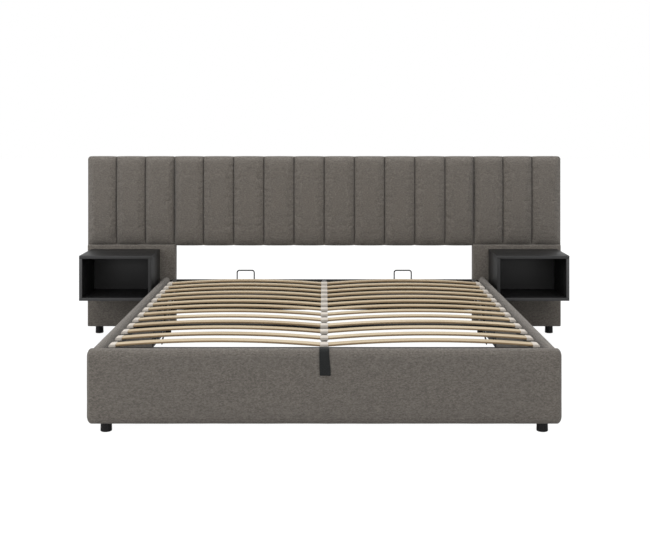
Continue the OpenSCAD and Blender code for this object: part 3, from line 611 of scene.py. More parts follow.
def pad_rows(height, even_rows=62):
    """Heights of the rows above the pad's base, closer in its two rolled edges."""
    arc = arc_steps(0, 10, 20, 30, 40, 50, 60, 75)
    return ([BASE_ROLL * a for a in arc] + list(np.linspace(BASE_ROLL, height - TOP_ROLL, even_rows))
            + [height - TOP_ROLL * a for a in reversed(arc)])


# %% [markdown]
# The sheet itself lies on the lobes. At the rim it rolls back to a thin lip on the board, at the
# outer top corners it is rounded, and each seam ends a little inside the channels' ends, which
# gives the scalloped top and bottom. The seams' and the rim's points join a vertex group, because
# the simulation will pin them as the real thread and staples do.

# %% Cut the covers
LIP, PINCH, PILLOW = 0.004, 0.010, 0.012
SHALLOW, VALLEY = 0.0045, 0.015


def channel_cover(name, node, seams, rounded, rolls):
    """The open front sheet of a pad, with its two top corners' radii and its two sides' rolls."""
    lo, hi = pad_box(node)
    columns = pad_columns(seams, rolls)
    height = hi[2] - lo[2]
    rows = pad_rows(height)
    middle_x, middle_z = (seams[0] + seams[-1]) / 2, (lo[2] + hi[2]) / 2
    points, seam_points, rim = [], set(), []
    for j, z in enumerate(rows):
        for i, (x, u) in enumerate(columns):
            end = 0 if x < middle_x else 1
            dx, dz = min(x - seams[0], seams[-1] - x), min(z, height - z)
            curls = ((dx, rolls[end]), (dz, BASE_ROLL if z < height / 2 else TOP_ROLL))
            rolled = math.prod(math.sqrt(max(0.0, 1 - (1 - min(d, r) / r) ** 2)) for d, r in curls)
            sag = PILLOW * abs(2 * z / height - 1) ** 3
            full = hi[1] - lo[1] - LIP - SHALLOW * rolled - sag - VALLEY * (1 - lobe(u))
            px, pz = x, middle_z + (lo[2] + z - middle_z) * (1 - PINCH * (1 - lobe(u)))
            side, top = rounded[end] - dx, rounded[end] - (height - z)
            if side > 0 and top > 0:
                shrink = 1 - max(side, top) / math.hypot(side, top)
                px += math.copysign(side * shrink, middle_x - x)
                pz -= top * shrink
            if min(abs(x - s) for s in seams[1:-1]) < 1e-6:
                seam_points.add(len(points))
            if j in (0, len(rows) - 1) or i in (0, len(columns) - 1):
                rim.append(len(points))
            points.append((px, hi[1] - LIP - rolled * full, pz))
    n = len(columns)
    starts = [a for j in range(len(rows) - 1) for a in range(j * n, j * n + n - 1)]
    faces = [(a, a + 1, a + n + 1, a + n) for a in starts]
    sheet = plain_piece(name, points, faces, upholstery)
    group = sheet.vertex_groups.new(name="sewn")
    group.add(sorted(seam_points | set(rim)), 1.0, "REPLACE")
    sheet["seams"] = list(seams)
    return sheet


CENTRE_PAD, CENTRE_RUN, CENTRE_CHANNELS = "headboard_centre_pad", 0.764, 8
JOINT_CORNER, TIP_CORNER = 0.004, 0.018
lo, hi = pad_box(CENTRE_PAD)
inner_seams = [CENTRE_RUN * (2 * c / CENTRE_CHANNELS - 1) for c in range(CENTRE_CHANNELS + 1)]
covers = [(channel_cover("headboard_centre_cover", CENTRE_PAD, [lo[0], *inner_seams, hi[0]],
                         (JOINT_CORNER, JOINT_CORNER), (JOINT_ROLL, JOINT_ROLL)), CENTRE_PAD)]
for side, way in (("left", 1), ("right", -1)):
    node = f"{side}_wing_pad"
    lo, hi = pad_box(node)
    seams = [lo[0] + (hi[0] - lo[0]) * c / 3 for c in range(4)]
    covers.append((channel_cover(f"{side}_wing_cover", node, seams, (TIP_CORNER, JOINT_CORNER)[::way],
                                 (ROLL, JOINT_ROLL)[::way]), node))
print("covers cut:", [len(sheet.data.vertices) for sheet, _ in covers], "points")

# %% [markdown]
# Cloth with pressure and a little spare length then fills the channels, as the foam does. All the
# sheets run over the same frames, because that is quicker than one run for each. The movement is
# capped, so that a cover stays inside the space that its solid holds.

# %% Blow the covers up
def simulate_together(sheets, frames=20, cap=0.006, pressure=4.0, spare=0.02):
    """Run Cloth on all the sheets at once, then keep their shapes with the movement capped."""
    rest = {}
    for sheet in sheets:
        rest[sheet.name] = np.array([v.co for v in sheet.data.vertices])
        cloth = sheet.modifiers.new("cloth", "CLOTH")
        cloth.settings.quality = 5
        cloth.settings.vertex_group_mass = "sewn"
        cloth.settings.use_pressure = True
        cloth.settings.uniform_pressure_force = pressure
        cloth.settings.shrink_min = -spare
        cloth.settings.effector_weights.gravity = 0.0
        cloth.point_cache.frame_start, cloth.point_cache.frame_end = 1, frames
    scene = bpy.context.scene
    for frame_number in range(1, frames + 1):
        scene.frame_set(frame_number)
    graph = bpy.context.evaluated_depsgraph_get()
    for sheet in sheets:
        shaped = sheet.evaluated_get(graph).data
        moved = np.array([v.co for v in shaped.vertices]) - rest[sheet.name]
        length = np.linalg.norm(moved, axis=1, keepdims=True)
        moved *= np.minimum(1.0, cap / np.maximum(length, 1e-9))
        sheet.modifiers.clear()
        sheet.data.vertices.foreach_set("co", (rest[sheet.name] + moved).ravel())
        sheet.data.update()
        print(sheet.name, "moved up to", round(float(length.max()) * 1000, 1), "mm before the cap")
    scene.frame_set(1)


simulate_together([sheet for sheet, _ in covers])

# %% [markdown]
# A sewn seam pulls small puckers across itself, is a sharp notch, and lies in its own shadow. A
# simulation fine enough for puckers would take too long, so they are added to the points here,
# with an attribute of painted shade for the seams and the bottom, and then the sheet is closed along its
# rim.

# %% Pucker, smooth and close the covers
OUTLINE_X = 1.4
# The painted shade: its strength and reach in the seams and at the pads' bottom.
SEAM_SHADE, SEAM_REACH = 0.62, 0.0042
TUCK_SHADE, TUCK_REACH = 0.26, 0.022
NOTCH_DEPTH, NOTCH_REACH = 0.007, 0.0034
SHADE_FADE, NOTCH_FADE = 0.012, 0.04
PUCKER, PUCKERS_PER_METRE, PUCKER_REACH = 0.00055, 230, 0.012
DRIFT, FINE_DRIFT = 0.0009, 0.0004
PROUD = 0.003


def finish_cover(sheet, node):
    lo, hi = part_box(node)
    finer = sheet.modifiers.new("finer", "SUBSURF")
    finer.levels = finer.render_levels = 1
    graph = bpy.context.evaluated_depsgraph_get()
    mesh = bpy.data.meshes.new_from_object(sheet.evaluated_get(graph), depsgraph=graph)
    sheet.modifiers.clear()
    sheet.data = mesh
    seams = np.array(list(sheet["seams"]))
    sewn = seams[np.abs(seams) < OUTLINE_X]
    bm = bmesh.new()
    bm.from_mesh(mesh)
    bm.normal_update()
    # The attribute that holds the painted shade.
    fold = bm.verts.layers.float.new("crease")
    for v in bm.verts:
        if v.is_boundary:
            continue
        near = float(np.abs(sewn - v.co.x).min())
        rim = min(v.co.z - lo[2], hi[2] - v.co.z)
        pull = math.exp(-near / PUCKER_REACH)
        # Painted shade: darker near a seam, fading at the rim, and darker towards the pad's bottom.
        v[fold] = SEAM_SHADE * math.exp(-(near / SEAM_REACH) ** 2) * min(1.0, rim / SHADE_FADE)
        v[fold] += TUCK_SHADE * math.exp(-max(0.0, v.co.z - lo[2]) / TUCK_REACH)
        v.co.y += NOTCH_DEPTH * math.exp(-(near / NOTCH_REACH) ** 2) * min(1.0, rim / NOTCH_FADE)
        pucker = math.sin(v.co.z * PUCKERS_PER_METRE + 9 * noise.noise(v.co * 14)) * PUCKER * pull
        drift = DRIFT * noise.noise(Vector((v.co.x * 11, 3.7, v.co.z * 6)))
        drift += FINE_DRIFT * noise.noise(v.co * 34)
        v.co += v.normal * (pucker + drift * (1 - pull))
        v.co.y = max(v.co.y, lo[1] - PROUD)
    bmesh.ops.holes_fill(bm, edges=[e for e in bm.edges if e.is_boundary], sides=0)
    bm.to_mesh(mesh)
    bm.free()
    mesh.shade_smooth()
    dress(sheet, "bedstead", "upholstery", node)
    del sheet["seams"]
    print(sheet.name, len(mesh.polygons), "faces")


for sheet, node in covers:
    finish_cover(sheet, node)

# %% [markdown]
# ## Slats and their caps
# Thirteen rows of two slats repeat at one pitch, so Geometry Nodes make them. A tree is like a
# small machine with named sizes. The class below builds one, ends it in real geometry with its
# finish, runs it on an empty piece and keeps the result as a plain mesh. In the cells of the
# trees, m is short for the maker at work.

# %% A helper for Geometry Nodes
class Maker:
    """A Geometry Nodes tree with named sizes; run() turns its result into a plain mesh piece."""

    KINDS = {int: "NodeSocketInt", float: "NodeSocketFloat", tuple: "NodeSocketVector"}

    def __init__(self, name, **sizes):
        self.tree = bpy.data.node_groups.new(name, "GeometryNodeTree")
        self.tree.interface.new_socket("Geometry", in_out="OUTPUT", socket_type="NodeSocketGeometry")
        self.ids = {}
        for label, value in {**sizes, "Finish": None}.items():
            kind = self.KINDS.get(type(value), "NodeSocketObject")
            if label == "Finish":
                kind = "NodeSocketMaterial"
            item = self.tree.interface.new_socket(label, in_out="INPUT", socket_type=kind)
            if value is not None:
                item.default_value = value
            self.ids[label] = item.identifier
        self.size = self.tree.nodes.new("NodeGroupInput").outputs

    def add(self, kind, inputs=None, out=0, **settings):
        return wire(self.tree, kind, inputs, **settings).outputs[out]

    def math(self, operation, a, b=0.0):
        return calc(self.tree, operation, a, b)

    def vector(self, x=0.0, y=0.0, z=0.0):
        return self.add("ShaderNodeCombineXYZ", {0: x, 1: y, 2: z})

    def here(self):
        """The X, Y and Z of each point."""
        position = self.add("GeometryNodeInputPosition")
        return wire(self.tree, "ShaderNodeSeparateXYZ", {0: position}).outputs

    def shape_of(self, label):
        """The geometry of the object given as an input."""
        return self.add("GeometryNodeObjectInfo", {"Object": self.size[label]}, out="Geometry")

    def store(self, geometry, label, value, domain="POINT"):
        return self.add("GeometryNodeStoreNamedAttribute",
                        {"Geometry": geometry, "Name": label, "Value": value},
                        data_type="FLOAT", domain=domain)

    def end(self, geometry):
        real = self.add("GeometryNodeRealizeInstances", {"Geometry": geometry})
        done = self.add("GeometryNodeSetMaterial", {"Geometry": real, "Material": self.size["Finish"]})
        wire(self.tree, "NodeGroupOutput", {0: done})

    def run(self, name, finish, **sizes):
        piece = add_object(name, bpy.data.meshes.new(name))
        tool = piece.modifiers.new("maker", "NODES")
        tool.node_group = self.tree
        for label, value in {**sizes, "Finish": finish}.items():
            tool[self.ids[label]] = value
        graph = bpy.context.evaluated_depsgraph_get()
        mesh = bpy.data.meshes.new_from_object(piece.evaluated_get(graph), depsgraph=graph)
        piece.modifiers.clear()
        piece.data = mesh
        print(name, len(mesh.polygons), "faces")
        return piece


# %% [markdown]
# ### One bowed slat
# A slat is a strip of plywood pressed into a shallow arch with rounded edges. The tree sweeps a
# rounded section along a straight line and only then lifts it into a parabola. So the depth in
# the plywood can be stored while the slat is still straight, for the birch to read.

# %% The slat tree
slat_maker = Maker("bowed_slat", Length=0.92, Width=0.053, Thickness=0.009, Bow=0.020, Rounding=0.0024)
m = slat_maker
half = m.math("MULTIPLY", m.size["Length"], 0.5)
other_end = m.math("MULTIPLY", half, -1.0)
line = m.add("GeometryNodeCurvePrimitiveLine", {"Start": m.vector(x=other_end), "End": m.vector(x=half)})
line = m.add("GeometryNodeResampleCurve", {"Curve": line, "Count": 41})
line = m.add("GeometryNodeSetCurveNormal", {"Curve": line}, mode="Z_UP")
section = m.add("GeometryNodeCurvePrimitiveQuadrilateral",
                {"Width": m.size["Width"], "Height": m.size["Thickness"]})
section = m.add("GeometryNodeFilletCurve",
                {"Curve": section, "Radius": m.size["Rounding"], "Count": 4}, mode="POLY")
swept = m.add("GeometryNodeCurveToMesh", {"Curve": line, "Profile Curve": section, "Fill Caps": True})
at = m.here()
depth = m.math("ADD", m.math("DIVIDE", at["Z"], m.size["Thickness"]), 0.5)
flat = m.math("SUBTRACT", m.math("MULTIPLY", m.size["Width"], 0.5), m.size["Rounding"])
edge = m.math("SUBTRACT", m.math("ABSOLUTE", at["Y"]), flat)
swept = m.store(swept, "ply", depth)
swept = m.store(swept, "on_side", m.math("DIVIDE", edge, m.size["Rounding"]))
share = m.math("DIVIDE", at["X"], half)
rise = m.math("MULTIPLY", m.size["Bow"], m.math("SUBTRACT", 1.0, m.math("MULTIPLY", share, share)))
bowed = m.add("GeometryNodeSetPosition", {"Geometry": swept, "Offset": m.vector(z=rise)})
m.end(bowed)
print("slat tree:", len(m.tree.nodes), "nodes")

# %% [markdown]
# ### Setting out rows
# Slats and caps stand in the same grid, so a second tree stands on its own: it places any piece on
# a grid of rows and columns, turns the left one round so that its outer end stays outside, and
# gives each copy its own tone from a fixed seed.

# %% The tree that sets out rows
ROWS = 13
row_maker = Maker("rows_of_pieces", Piece=None, Columns=2, Rows=ROWS, Spread=0.934, Pitch=0.146,
                  Middle=(0.0, 0.0, 0.0), Seed=7)
m = row_maker
run_y = m.math("MULTIPLY", m.size["Pitch"], m.math("SUBTRACT", m.size["Rows"], 1.0))
grid = m.add("GeometryNodeMeshGrid", {"Size X": m.size["Spread"], "Size Y": run_y,
                                      "Vertices X": m.size["Columns"], "Vertices Y": m.size["Rows"]})
grid = m.add("GeometryNodeTransform", {"Geometry": grid, "Translation": m.size["Middle"]})
spots = m.add("GeometryNodeMeshToPoints", {"Mesh": grid})
on_left = m.math("LESS_THAN", m.here()["X"], -0.001)
turn = m.vector(z=m.math("MULTIPLY", on_left, math.pi))
placed = m.add("GeometryNodeInstanceOnPoints",
               {"Points": spots, "Instance": m.shape_of("Piece"), "Rotation": turn})
tone = m.add("FunctionNodeRandomValue", {"Min": 0.0, "Max": 1.0, "Seed": m.size["Seed"]},
             out="Value", data_type="FLOAT")
m.end(m.store(placed, "slat_tone", tone, "INSTANCE"))
print("row tree:", len(m.tree.nodes), "nodes")

# %% [markdown]
# ### Slats
# The sizes come from the CAD's first and last row: pitch, middle, length and bow. Typed again
# here, they would come apart from the frame as soon as it changed.

# %% Slats
DECK_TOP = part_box("side_tubes")[1][2]
first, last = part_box("slat_row_01"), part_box(f"slat_row_{ROWS}")
SLAT_Y = (first[0][1] + first[1][1]) / 2
PITCH = (last[0][1] - first[0][1]) / (ROWS - 1)
MID_Y = SLAT_Y + (ROWS - 1) / 2 * PITCH
SLAT_T, CAP_HOLD = 0.009, 0.012
SLAT_IN, SLAT_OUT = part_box("centre_slat_caps")[1][0] - CAP_HOLD, first[1][0]
SLAT_Z = first[0][2] + SLAT_T / 2
one_slat = slat_maker.run("one_slat", birch, Length=SLAT_OUT - SLAT_IN, Width=first[1][1] - first[0][1],
                          Thickness=SLAT_T, Bow=first[1][2] - first[0][2] - SLAT_T)
print("one slat measures", [round(d, 4) for d in one_slat.dimensions])
slats = row_maker.run("slats", birch, Piece=one_slat, Columns=2, Rows=ROWS, Spread=SLAT_OUT + SLAT_IN,
                      Pitch=PITCH, Middle=(0.0, MID_Y, SLAT_Z), Seed=7)
dress(slats, "platform", "birch", *[f"slat_row_{i:02d}" for i in range(1, ROWS + 1)])
bpy.data.objects.remove(one_slat)

# %% [markdown]
# ### Caps
# A moulded cap holds each slat's outer end, and a double one both inner ends. A cap's hollow is
# cut by its slat in the CAD, which would be hard to model again. So one cap of each kind is cut out
# of the CAD node, its edges are rounded as a mould leaves them, and the row tree repeats it.

# %% Caps
OUTER_CAP_HALF = 0.015


def one_cap(node, x_from, round_off, x_middle):
    """The cap of the first row that lies beyond x_from, eased, with its seat moved to the origin."""
    bm = merged(node)
    away = [v for v in bm.verts if abs(v.co.y - SLAT_Y) > PITCH / 2 or v.co.x < x_from]
    bmesh.ops.delete(bm, geom=away, context="VERTS")
    merge_flats(bm)
    bmesh.ops.translate(bm, verts=bm.verts, vec=-Vector((x_middle, SLAT_Y, DECK_TOP)))
    mesh = eased_mesh(bm, "one_" + node, round_off, 3, bevel_from=28, crisp_from=40)
    return add_object(mesh.name, mesh)


cap_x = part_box("outer_slat_caps")[1][0] - OUTER_CAP_HALF
for kind, columns, x_from, round_off, x_middle in (("outer", 2, 0.5, 0.0008, cap_x),
                                                   ("centre", 1, -0.5, 0.0007, 0.0)):
    cap = one_cap(f"{kind}_slat_caps", x_from, round_off, x_middle)
    caps = row_maker.run(f"{kind}_caps", cap_plastic, Piece=cap, Columns=columns, Rows=ROWS,
                         Spread=2 * x_middle, Pitch=PITCH, Middle=(0.0, MID_Y, DECK_TOP), Seed=3)
    dress(caps, "platform", "cap_plastic", f"{kind}_slat_caps")
    bpy.data.objects.remove(cap)

# %% [markdown]
# ## Lift strap
# The strap is one length of webbing, folded at its lower end into two layers: it comes off the
# platform's end tube, lies over the footboard and hangs down its front. It is thick, short and
# held flat, so a simulation would add nothing: a band follows a path drawn in side view. It hangs
# a few millimetres askew and is wider at its fold, as in the photograph.

# %% A band along a path
def smooth_path(points):
    """Points along a polyline, its corners rounded by three passes of corner cutting."""
    path = [Vector(p) for p in points]
    for _ in range(3):
        cut = [path[0]]
        for a, b in zip(path, path[1:]):
            cut += [a.lerp(b, 0.25), a.lerp(b, 0.75)]
        path = cut + [path[-1]]
    return path


def webbing_band(name, path, centre, width, thickness):
    """A woven band along (y, z) points; centre and width are functions of the share of its length."""
    length = [0.0]
    for a, b in zip(path, path[1:]):
        length.append(length[-1] + (b - a).length)
    points, faces, across = [], [], 9
    for k, p in enumerate(path):
        share = length[k] / length[-1]
        ahead = path[min(k + 1, len(path) - 1)] - path[max(k - 1, 0)]
        normal = Vector((-ahead.y, ahead.x)).normalized()
        for layer in (0, 1):
            for i in range(across):
                u = 2 * i / (across - 1) - 1
                edge = 1.0 if abs(u) < 1 else 0.45
                q = p + normal * thickness * (layer - 0.5) * edge
                points.append((centre(share) + u * width(share) / 2, q.x, q.y))
    ring = 2 * across
    for k in range(len(path) - 1):
        a, b = k * ring, (k + 1) * ring
        loop = list(range(across)) + list(range(2 * across - 1, across - 1, -1))
        for i in range(ring):
            j = (i + 1) % ring
            faces.append((a + loop[i], a + loop[j], b + loop[j], b + loop[i]))
    for k, order in ((0, 1), (len(path) - 1, -1)):
        base = k * ring
        for i in range(across - 1):
            faces.append((base + i, base + across + i, base + across + i + 1, base + i + 1)[::order])
    band = plain_piece(name, points, faces, webbing)
    bm = bmesh.new()
    bm.from_mesh(band.data)
    bmesh.ops.recalc_face_normals(bm, faces=bm.faces)
    bm.to_mesh(band.data)
    bm.free()
    band.data.set_sharp_from_angle(angle=math.radians(60))
    return band


# %% [markdown]
# The path starts on the end tube, crosses the footboard, runs down its front to the fold and comes
# back behind the first layer. Its points are given from the footboard's front and top and from the
# deck, so the strap follows the frame. Only the fold and the bend above it have their own heights.

# %% Strap
FOOT_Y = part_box("footboard")[0][1]
OVER_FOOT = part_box("footboard")[1][2] + 0.002
FOLD_Z, BEND_Z = 0.250, 0.30
STRAP_T = 0.0014
strap_path = smooth_path([
    (FOOT_Y + 0.066, DECK_TOP + 0.0022), (FOOT_Y + 0.057, DECK_TOP + 0.0022),
    (FOOT_Y + 0.044, OVER_FOOT + 0.0030), (FOOT_Y + 0.010, OVER_FOOT + 0.0030),
    (FOOT_Y - 0.0032, OVER_FOOT - 0.010), (FOOT_Y - 0.0036, BEND_Z),
    (FOOT_Y - 0.0040, FOLD_Z + 0.004), (FOOT_Y - 0.0036, FOLD_Z),
    (FOOT_Y - 0.0014, FOLD_Z), (FOOT_Y - 0.0012, FOLD_Z + 0.004),
    (FOOT_Y - 0.0012, BEND_Z), (FOOT_Y - 0.0010, OVER_FOOT - 0.012),
    (FOOT_Y + 0.011, OVER_FOOT + 0.0012), (FOOT_Y + 0.042, OVER_FOOT + 0.0012)])


def near_fold(share, middle):
    """1 near the fold, in the middle of the strap's length, and 0 at its ends."""
    return math.exp(-((share - middle) / 0.16) ** 2)


def strap_centre(share):
    return 0.0002 + 0.0040 * near_fold(share, 0.52)


def strap_width(share):
    return 0.0425 + 0.0050 * near_fold(share, 0.5)


strap = webbing_band("lift_strap_webbing", strap_path, strap_centre, strap_width, STRAP_T)
dress(strap, "platform", "webbing", "lift_strap")
print("strap", [round(d, 4) for d in strap.dimensions])

# %% [markdown]
# ## Screws, welds, plugs and stitches
# These are too small for the CAD, but a bed like this has them: pan-head screws through the
# joining plates and the angles, a welded bead round each tube joint, a plastic plug in each open
# tube, and the sewn hem of the strap. They are set out from the solids of the frame, so they stay
# in place when its sizes change. `solids` finds the boxes of a node's solids, and `guide_mesh`
# makes the marks or lines that a tree reads.

# %% Marks and paths for the trees
def solids(node):
    """The boxes (lo, hi) of the separate solids of one CAD node, sorted."""
    bm = merged(node)
    waiting, boxes = set(bm.verts), []
    while waiting:
        edge = [waiting.pop()]
        group = list(edge)
        while edge:
            near = {e.other_vert(v) for v in edge for e in v.link_edges} & waiting
            waiting -= near
            edge = list(near)
            group += edge
        places = np.array([v.co for v in group])
        boxes.append((tuple(places.min(axis=0)), tuple(places.max(axis=0))))
    bm.free()
    return sorted(boxes)


def guide_mesh(name, points, edges=(), facing=()):
    """A mesh that only a tree reads: points that face a way, or lines."""
    mesh = bpy.data.meshes.new(name)
    mesh.from_pydata([tuple(p) for p in points], list(edges), [])
    if facing:
        ways = mesh.attributes.new("facing", "FLOAT_VECTOR", "POINT")
        ways.data.foreach_set("vector", [c for way in facing for c in way])
    return add_object(name, mesh)


def guide_lines(name, lines):
    points, edges = [], []
    for line in lines:
        edges += [(len(points) + i, len(points) + i + 1) for i in range(len(line) - 1)]
        points += line
    return guide_mesh(name, points, edges)


# %% [markdown]
# ### Setting pieces on marks
# A screw or a plug sits on a face and looks out of it. One tree serves both: it reads marks that
# each carry the way they face, and turns a copy of the piece to it.

# %% The tree that sets pieces on marks
mark_maker = Maker("pieces_on_marks", Marks=None, Piece=None)
m = mark_maker
facing = m.add("GeometryNodeInputNamedAttribute", {"Name": "facing"}, data_type="FLOAT_VECTOR")
turn = m.add("FunctionNodeAlignRotationToVector", {"Vector": facing}, axis="Z")
m.end(m.add("GeometryNodeInstanceOnPoints",
            {"Points": m.shape_of("Marks"), "Instance": m.shape_of("Piece"), "Rotation": turn}))


def set_on_marks(name, piece, finish, spots, body, slot):
    """Repeat a piece on (place, facing) spots, its z axis along the facing."""
    marks = guide_mesh(name + "_marks", [place for place, _ in spots], facing=[way for _, way in spots])
    done = mark_maker.run(name, finish, Marks=marks, Piece=piece)
    done.data.set_sharp_from_angle(angle=math.radians(38))
    bpy.data.objects.remove(marks)
    return dress(done, body, slot)


print("mark tree:", len(m.tree.nodes), "nodes")

# %% [markdown]
# ### One screw
# A pan head is a low dome with a cross recess. A sphere pressed flat gives the dome, and two thin
# boxes are cut out of it. Its lower half is simply inside the plate.

# %% The screw tree
screw_maker = Maker("pan_head_screw", Radius=0.0050, Height=0.0024, Recess=0.0014)
m = screw_maker
ball = m.add("GeometryNodeMeshUVSphere", {"Segments": 24, "Rings": 12, "Radius": m.size["Radius"]})
squat = m.math("DIVIDE", m.size["Height"], m.size["Radius"])
head = m.add("GeometryNodeTransform", {"Geometry": ball, "Scale": m.vector(1.0, 1.0, squat)})
long = m.math("MULTIPLY", m.size["Radius"], 1.15)
slit = m.math("MULTIPLY", m.size["Radius"], 0.27)
tall = m.math("MULTIPLY", m.size["Recess"], 2.0)
for size in ((long, slit, tall), (slit, long, tall)):
    cutter = m.add("GeometryNodeMeshCube", {"Size": m.vector(*size)})
    lift = m.vector(z=m.size["Height"])
    cutter = m.add("GeometryNodeTransform", {"Geometry": cutter, "Translation": lift})
    head = m.add("GeometryNodeMeshBoolean", {"Mesh 1": head, "Mesh 2": cutter}, operation="DIFFERENCE")
m.end(m.add("GeometryNodeSetShadeSmooth", {"Geometry": head}))
one_screw = screw_maker.run("one_screw", zinc)

# %% [markdown]
# ### Screws in place
# Each joining plate has four pairs of zinc screws, two pairs in each board. The angles under the
# nightstands have two screws to the wing and two up into the box, and each rest bracket has two to
# its rail; all of these are black like their angles.

# %% Screws
ANGLE_T = 0.003
PLATE_X, PLATE_Z = (0.016, 0.042), 0.015
WING_IN, WING_UP, BOX_OUT = 0.008, 0.016, (0.020, 0.060)
REST_IN, REST_UP = 0.010, 0.018
back_spots = []
for lo, hi in solids("headboard_plates"):
    for x in [lo[0] + d for d in PLATE_X] + [hi[0] - d for d in reversed(PLATE_X)]:
        for z in (lo[2] + PLATE_Z, hi[2] - PLATE_Z):
            back_spots.append(((x, hi[1], z), (0, 1, 0)))
set_on_marks("plate_screws", one_screw, zinc, back_spots, "bedstead", "bright_steel")
angle_spots = []
for lo, hi in solids("nightstand_brackets"):
    for x in (lo[0] + WING_IN, hi[0] - WING_IN):
        angle_spots.append(((x, hi[1] - ANGLE_T, lo[2] + WING_UP), (0, -1, 0)))
    for out in BOX_OUT:
        angle_spots.append((((lo[0] + hi[0]) / 2, lo[1] + out, hi[2] - ANGLE_T), (0, 0, -1)))
for lo, hi in solids("rest_brackets"):
    way = -1 if lo[0] > 0 else 1
    face = hi[0] - ANGLE_T if way < 0 else lo[0] + ANGLE_T
    for y in (lo[1] + REST_IN, hi[1] - REST_IN):
        angle_spots.append(((face, y, lo[2] + REST_UP), (way, 0, 0)))
set_on_marks("angle_screws", one_screw, powder_coat, angle_spots, "bedstead", "black_steel")
bpy.data.objects.remove(one_screw)
print("screws:", len(back_spots) + len(angle_spots))

# %% [markdown]
# ### Plugs in the open tube ends
# The side tubes end open, and a plastic plug closes each. Only its lip shows: a rounded square
# that narrows towards its face. Four rings of points joined by faces make it quickly.

# %% Plugs
PLUG_PLAY, PLUG_LIP, PLUG_CORNER = 0.0006, 0.0016, 0.0028


def tube_plug(name, width, height, lip, rounding):
    """A plug's lip, with the way out along z."""
    bm = bmesh.new()
    rings = []
    for inset, z in ((0.0, 0.0), (0.0, 0.6 * lip), (0.35 * lip, 0.9 * lip), (0.9 * lip, lip)):
        ring = []
        r = max(rounding - inset, 0.0004)
        for quarter, (sx, sy) in enumerate(((1, 1), (-1, 1), (-1, -1), (1, -1))):
            for step in range(6):
                a = math.radians(90 * quarter + 18 * step)
                ring.append(bm.verts.new((sx * (width / 2 - inset - r) + r * math.cos(a),
                                          sy * (height / 2 - inset - r) + r * math.sin(a), z)))
        rings.append(ring)
    count = len(rings[0])
    for a, b in zip(rings, rings[1:]):
        for i in range(count):
            bm.faces.new((a[i], a[(i + 1) % count], b[(i + 1) % count], b[i]))
    bm.faces.new(rings[-1])
    bm.faces.new(rings[0][::-1])
    mesh = bpy.data.meshes.new(name)
    bm.to_mesh(mesh)
    bm.free()
    mesh.shade_smooth()
    return add_object(name, mesh)


tubes = solids("side_tubes")
tube_lo, tube_hi = tubes[0]
one_plug = tube_plug("one_plug", tube_hi[0] - tube_lo[0] - PLUG_PLAY, tube_hi[2] - tube_lo[2] - PLUG_PLAY,
                     PLUG_LIP, PLUG_CORNER)
ends = []
for lo, hi in tubes:
    for y, way in ((lo[1], -1), (hi[1], 1)):
        ends.append((((lo[0] + hi[0]) / 2, y, (lo[2] + hi[2]) / 2), (0, way, 0)))
set_on_marks("tube_plugs", one_plug, foot_plastic, ends, "platform", "foot_plastic")
bpy.data.objects.remove(one_plug)

# %% [markdown]
# ### Welded beads
# Where two tubes meet, a bead runs down the sides and along the bottom; the top is left flush,
# for the caps and slats. A bead is a row of overlapping drops, so the tree sweeps a circle along
# the path and lets its size swell and shrink with a sine of the length.

# %% Welded beads
weld_maker = Maker("weld_bead", Paths=None, Radius=0.0024, Ripple=0.0026, Corner=0.003)
m = weld_maker
line = m.add("GeometryNodeMeshToCurve", {"Mesh": m.shape_of("Paths")})
line = m.add("GeometryNodeFilletCurve",
             {"Curve": line, "Radius": m.size["Corner"], "Count": 4}, mode="POLY")
line = m.add("GeometryNodeResampleCurve",
             {"Curve": line, "Length": m.math("MULTIPLY", m.size["Ripple"], 0.25)}, mode="LENGTH")
along = m.add("GeometryNodeSplineParameter", out="Length")
drops = m.math("MULTIPLY", m.math("DIVIDE", along, m.size["Ripple"]), math.pi)
wave = m.math("ABSOLUTE", m.math("SINE", drops))
girth = m.math("MULTIPLY", m.size["Radius"], m.math("ADD", m.math("MULTIPLY", wave, 0.28), 0.72))
ring = m.add("GeometryNodeCurvePrimitiveCircle", {"Resolution": 8, "Radius": 1.0})
bead = m.add("GeometryNodeCurveToMesh",
             {"Curve": line, "Profile Curve": ring, "Scale": girth, "Fill Caps": True})
m.end(m.add("GeometryNodeSetShadeSmooth", {"Geometry": bead}))

BELOW_TOP = 0.003
weld_lines = []
for lo, hi in solids("cross_tubes"):
    top = hi[2] - BELOW_TOP
    for x in (lo[0], hi[0]):
        weld_lines.append([(x, lo[1], top), (x, lo[1], lo[2]), (x, hi[1], lo[2]), (x, hi[1], top)])
for lo, hi in solids("end_tubes"):
    inner, outer = (hi[1], lo[1]) if lo[1] < 0 else (lo[1], hi[1])
    for x in (lo[0], hi[0]):
        weld_lines.append([(x, inner, hi[2] - BELOW_TOP), (x, inner, lo[2]), (x, outer, lo[2])])
for lo, hi in solids("centre_tube"):
    top = hi[2] - BELOW_TOP
    for y in (lo[1], hi[1]):
        weld_lines.append([(lo[0], y, top), (lo[0], y, lo[2]), (hi[0], y, lo[2]), (hi[0], y, top)])
paths = guide_lines("weld_lines", weld_lines)
welds = weld_maker.run("weld_beads", powder_coat, Paths=paths)
dress(welds, "platform", "black_steel")
bpy.data.objects.remove(paths)

# %% [markdown]
# ### Stitches of the strap
# The fold is sewn with a box and a cross. Each stitch is a short thread end, so the tree walks
# along the seam lines in even steps and lays a small stretched ball on each, along the line.

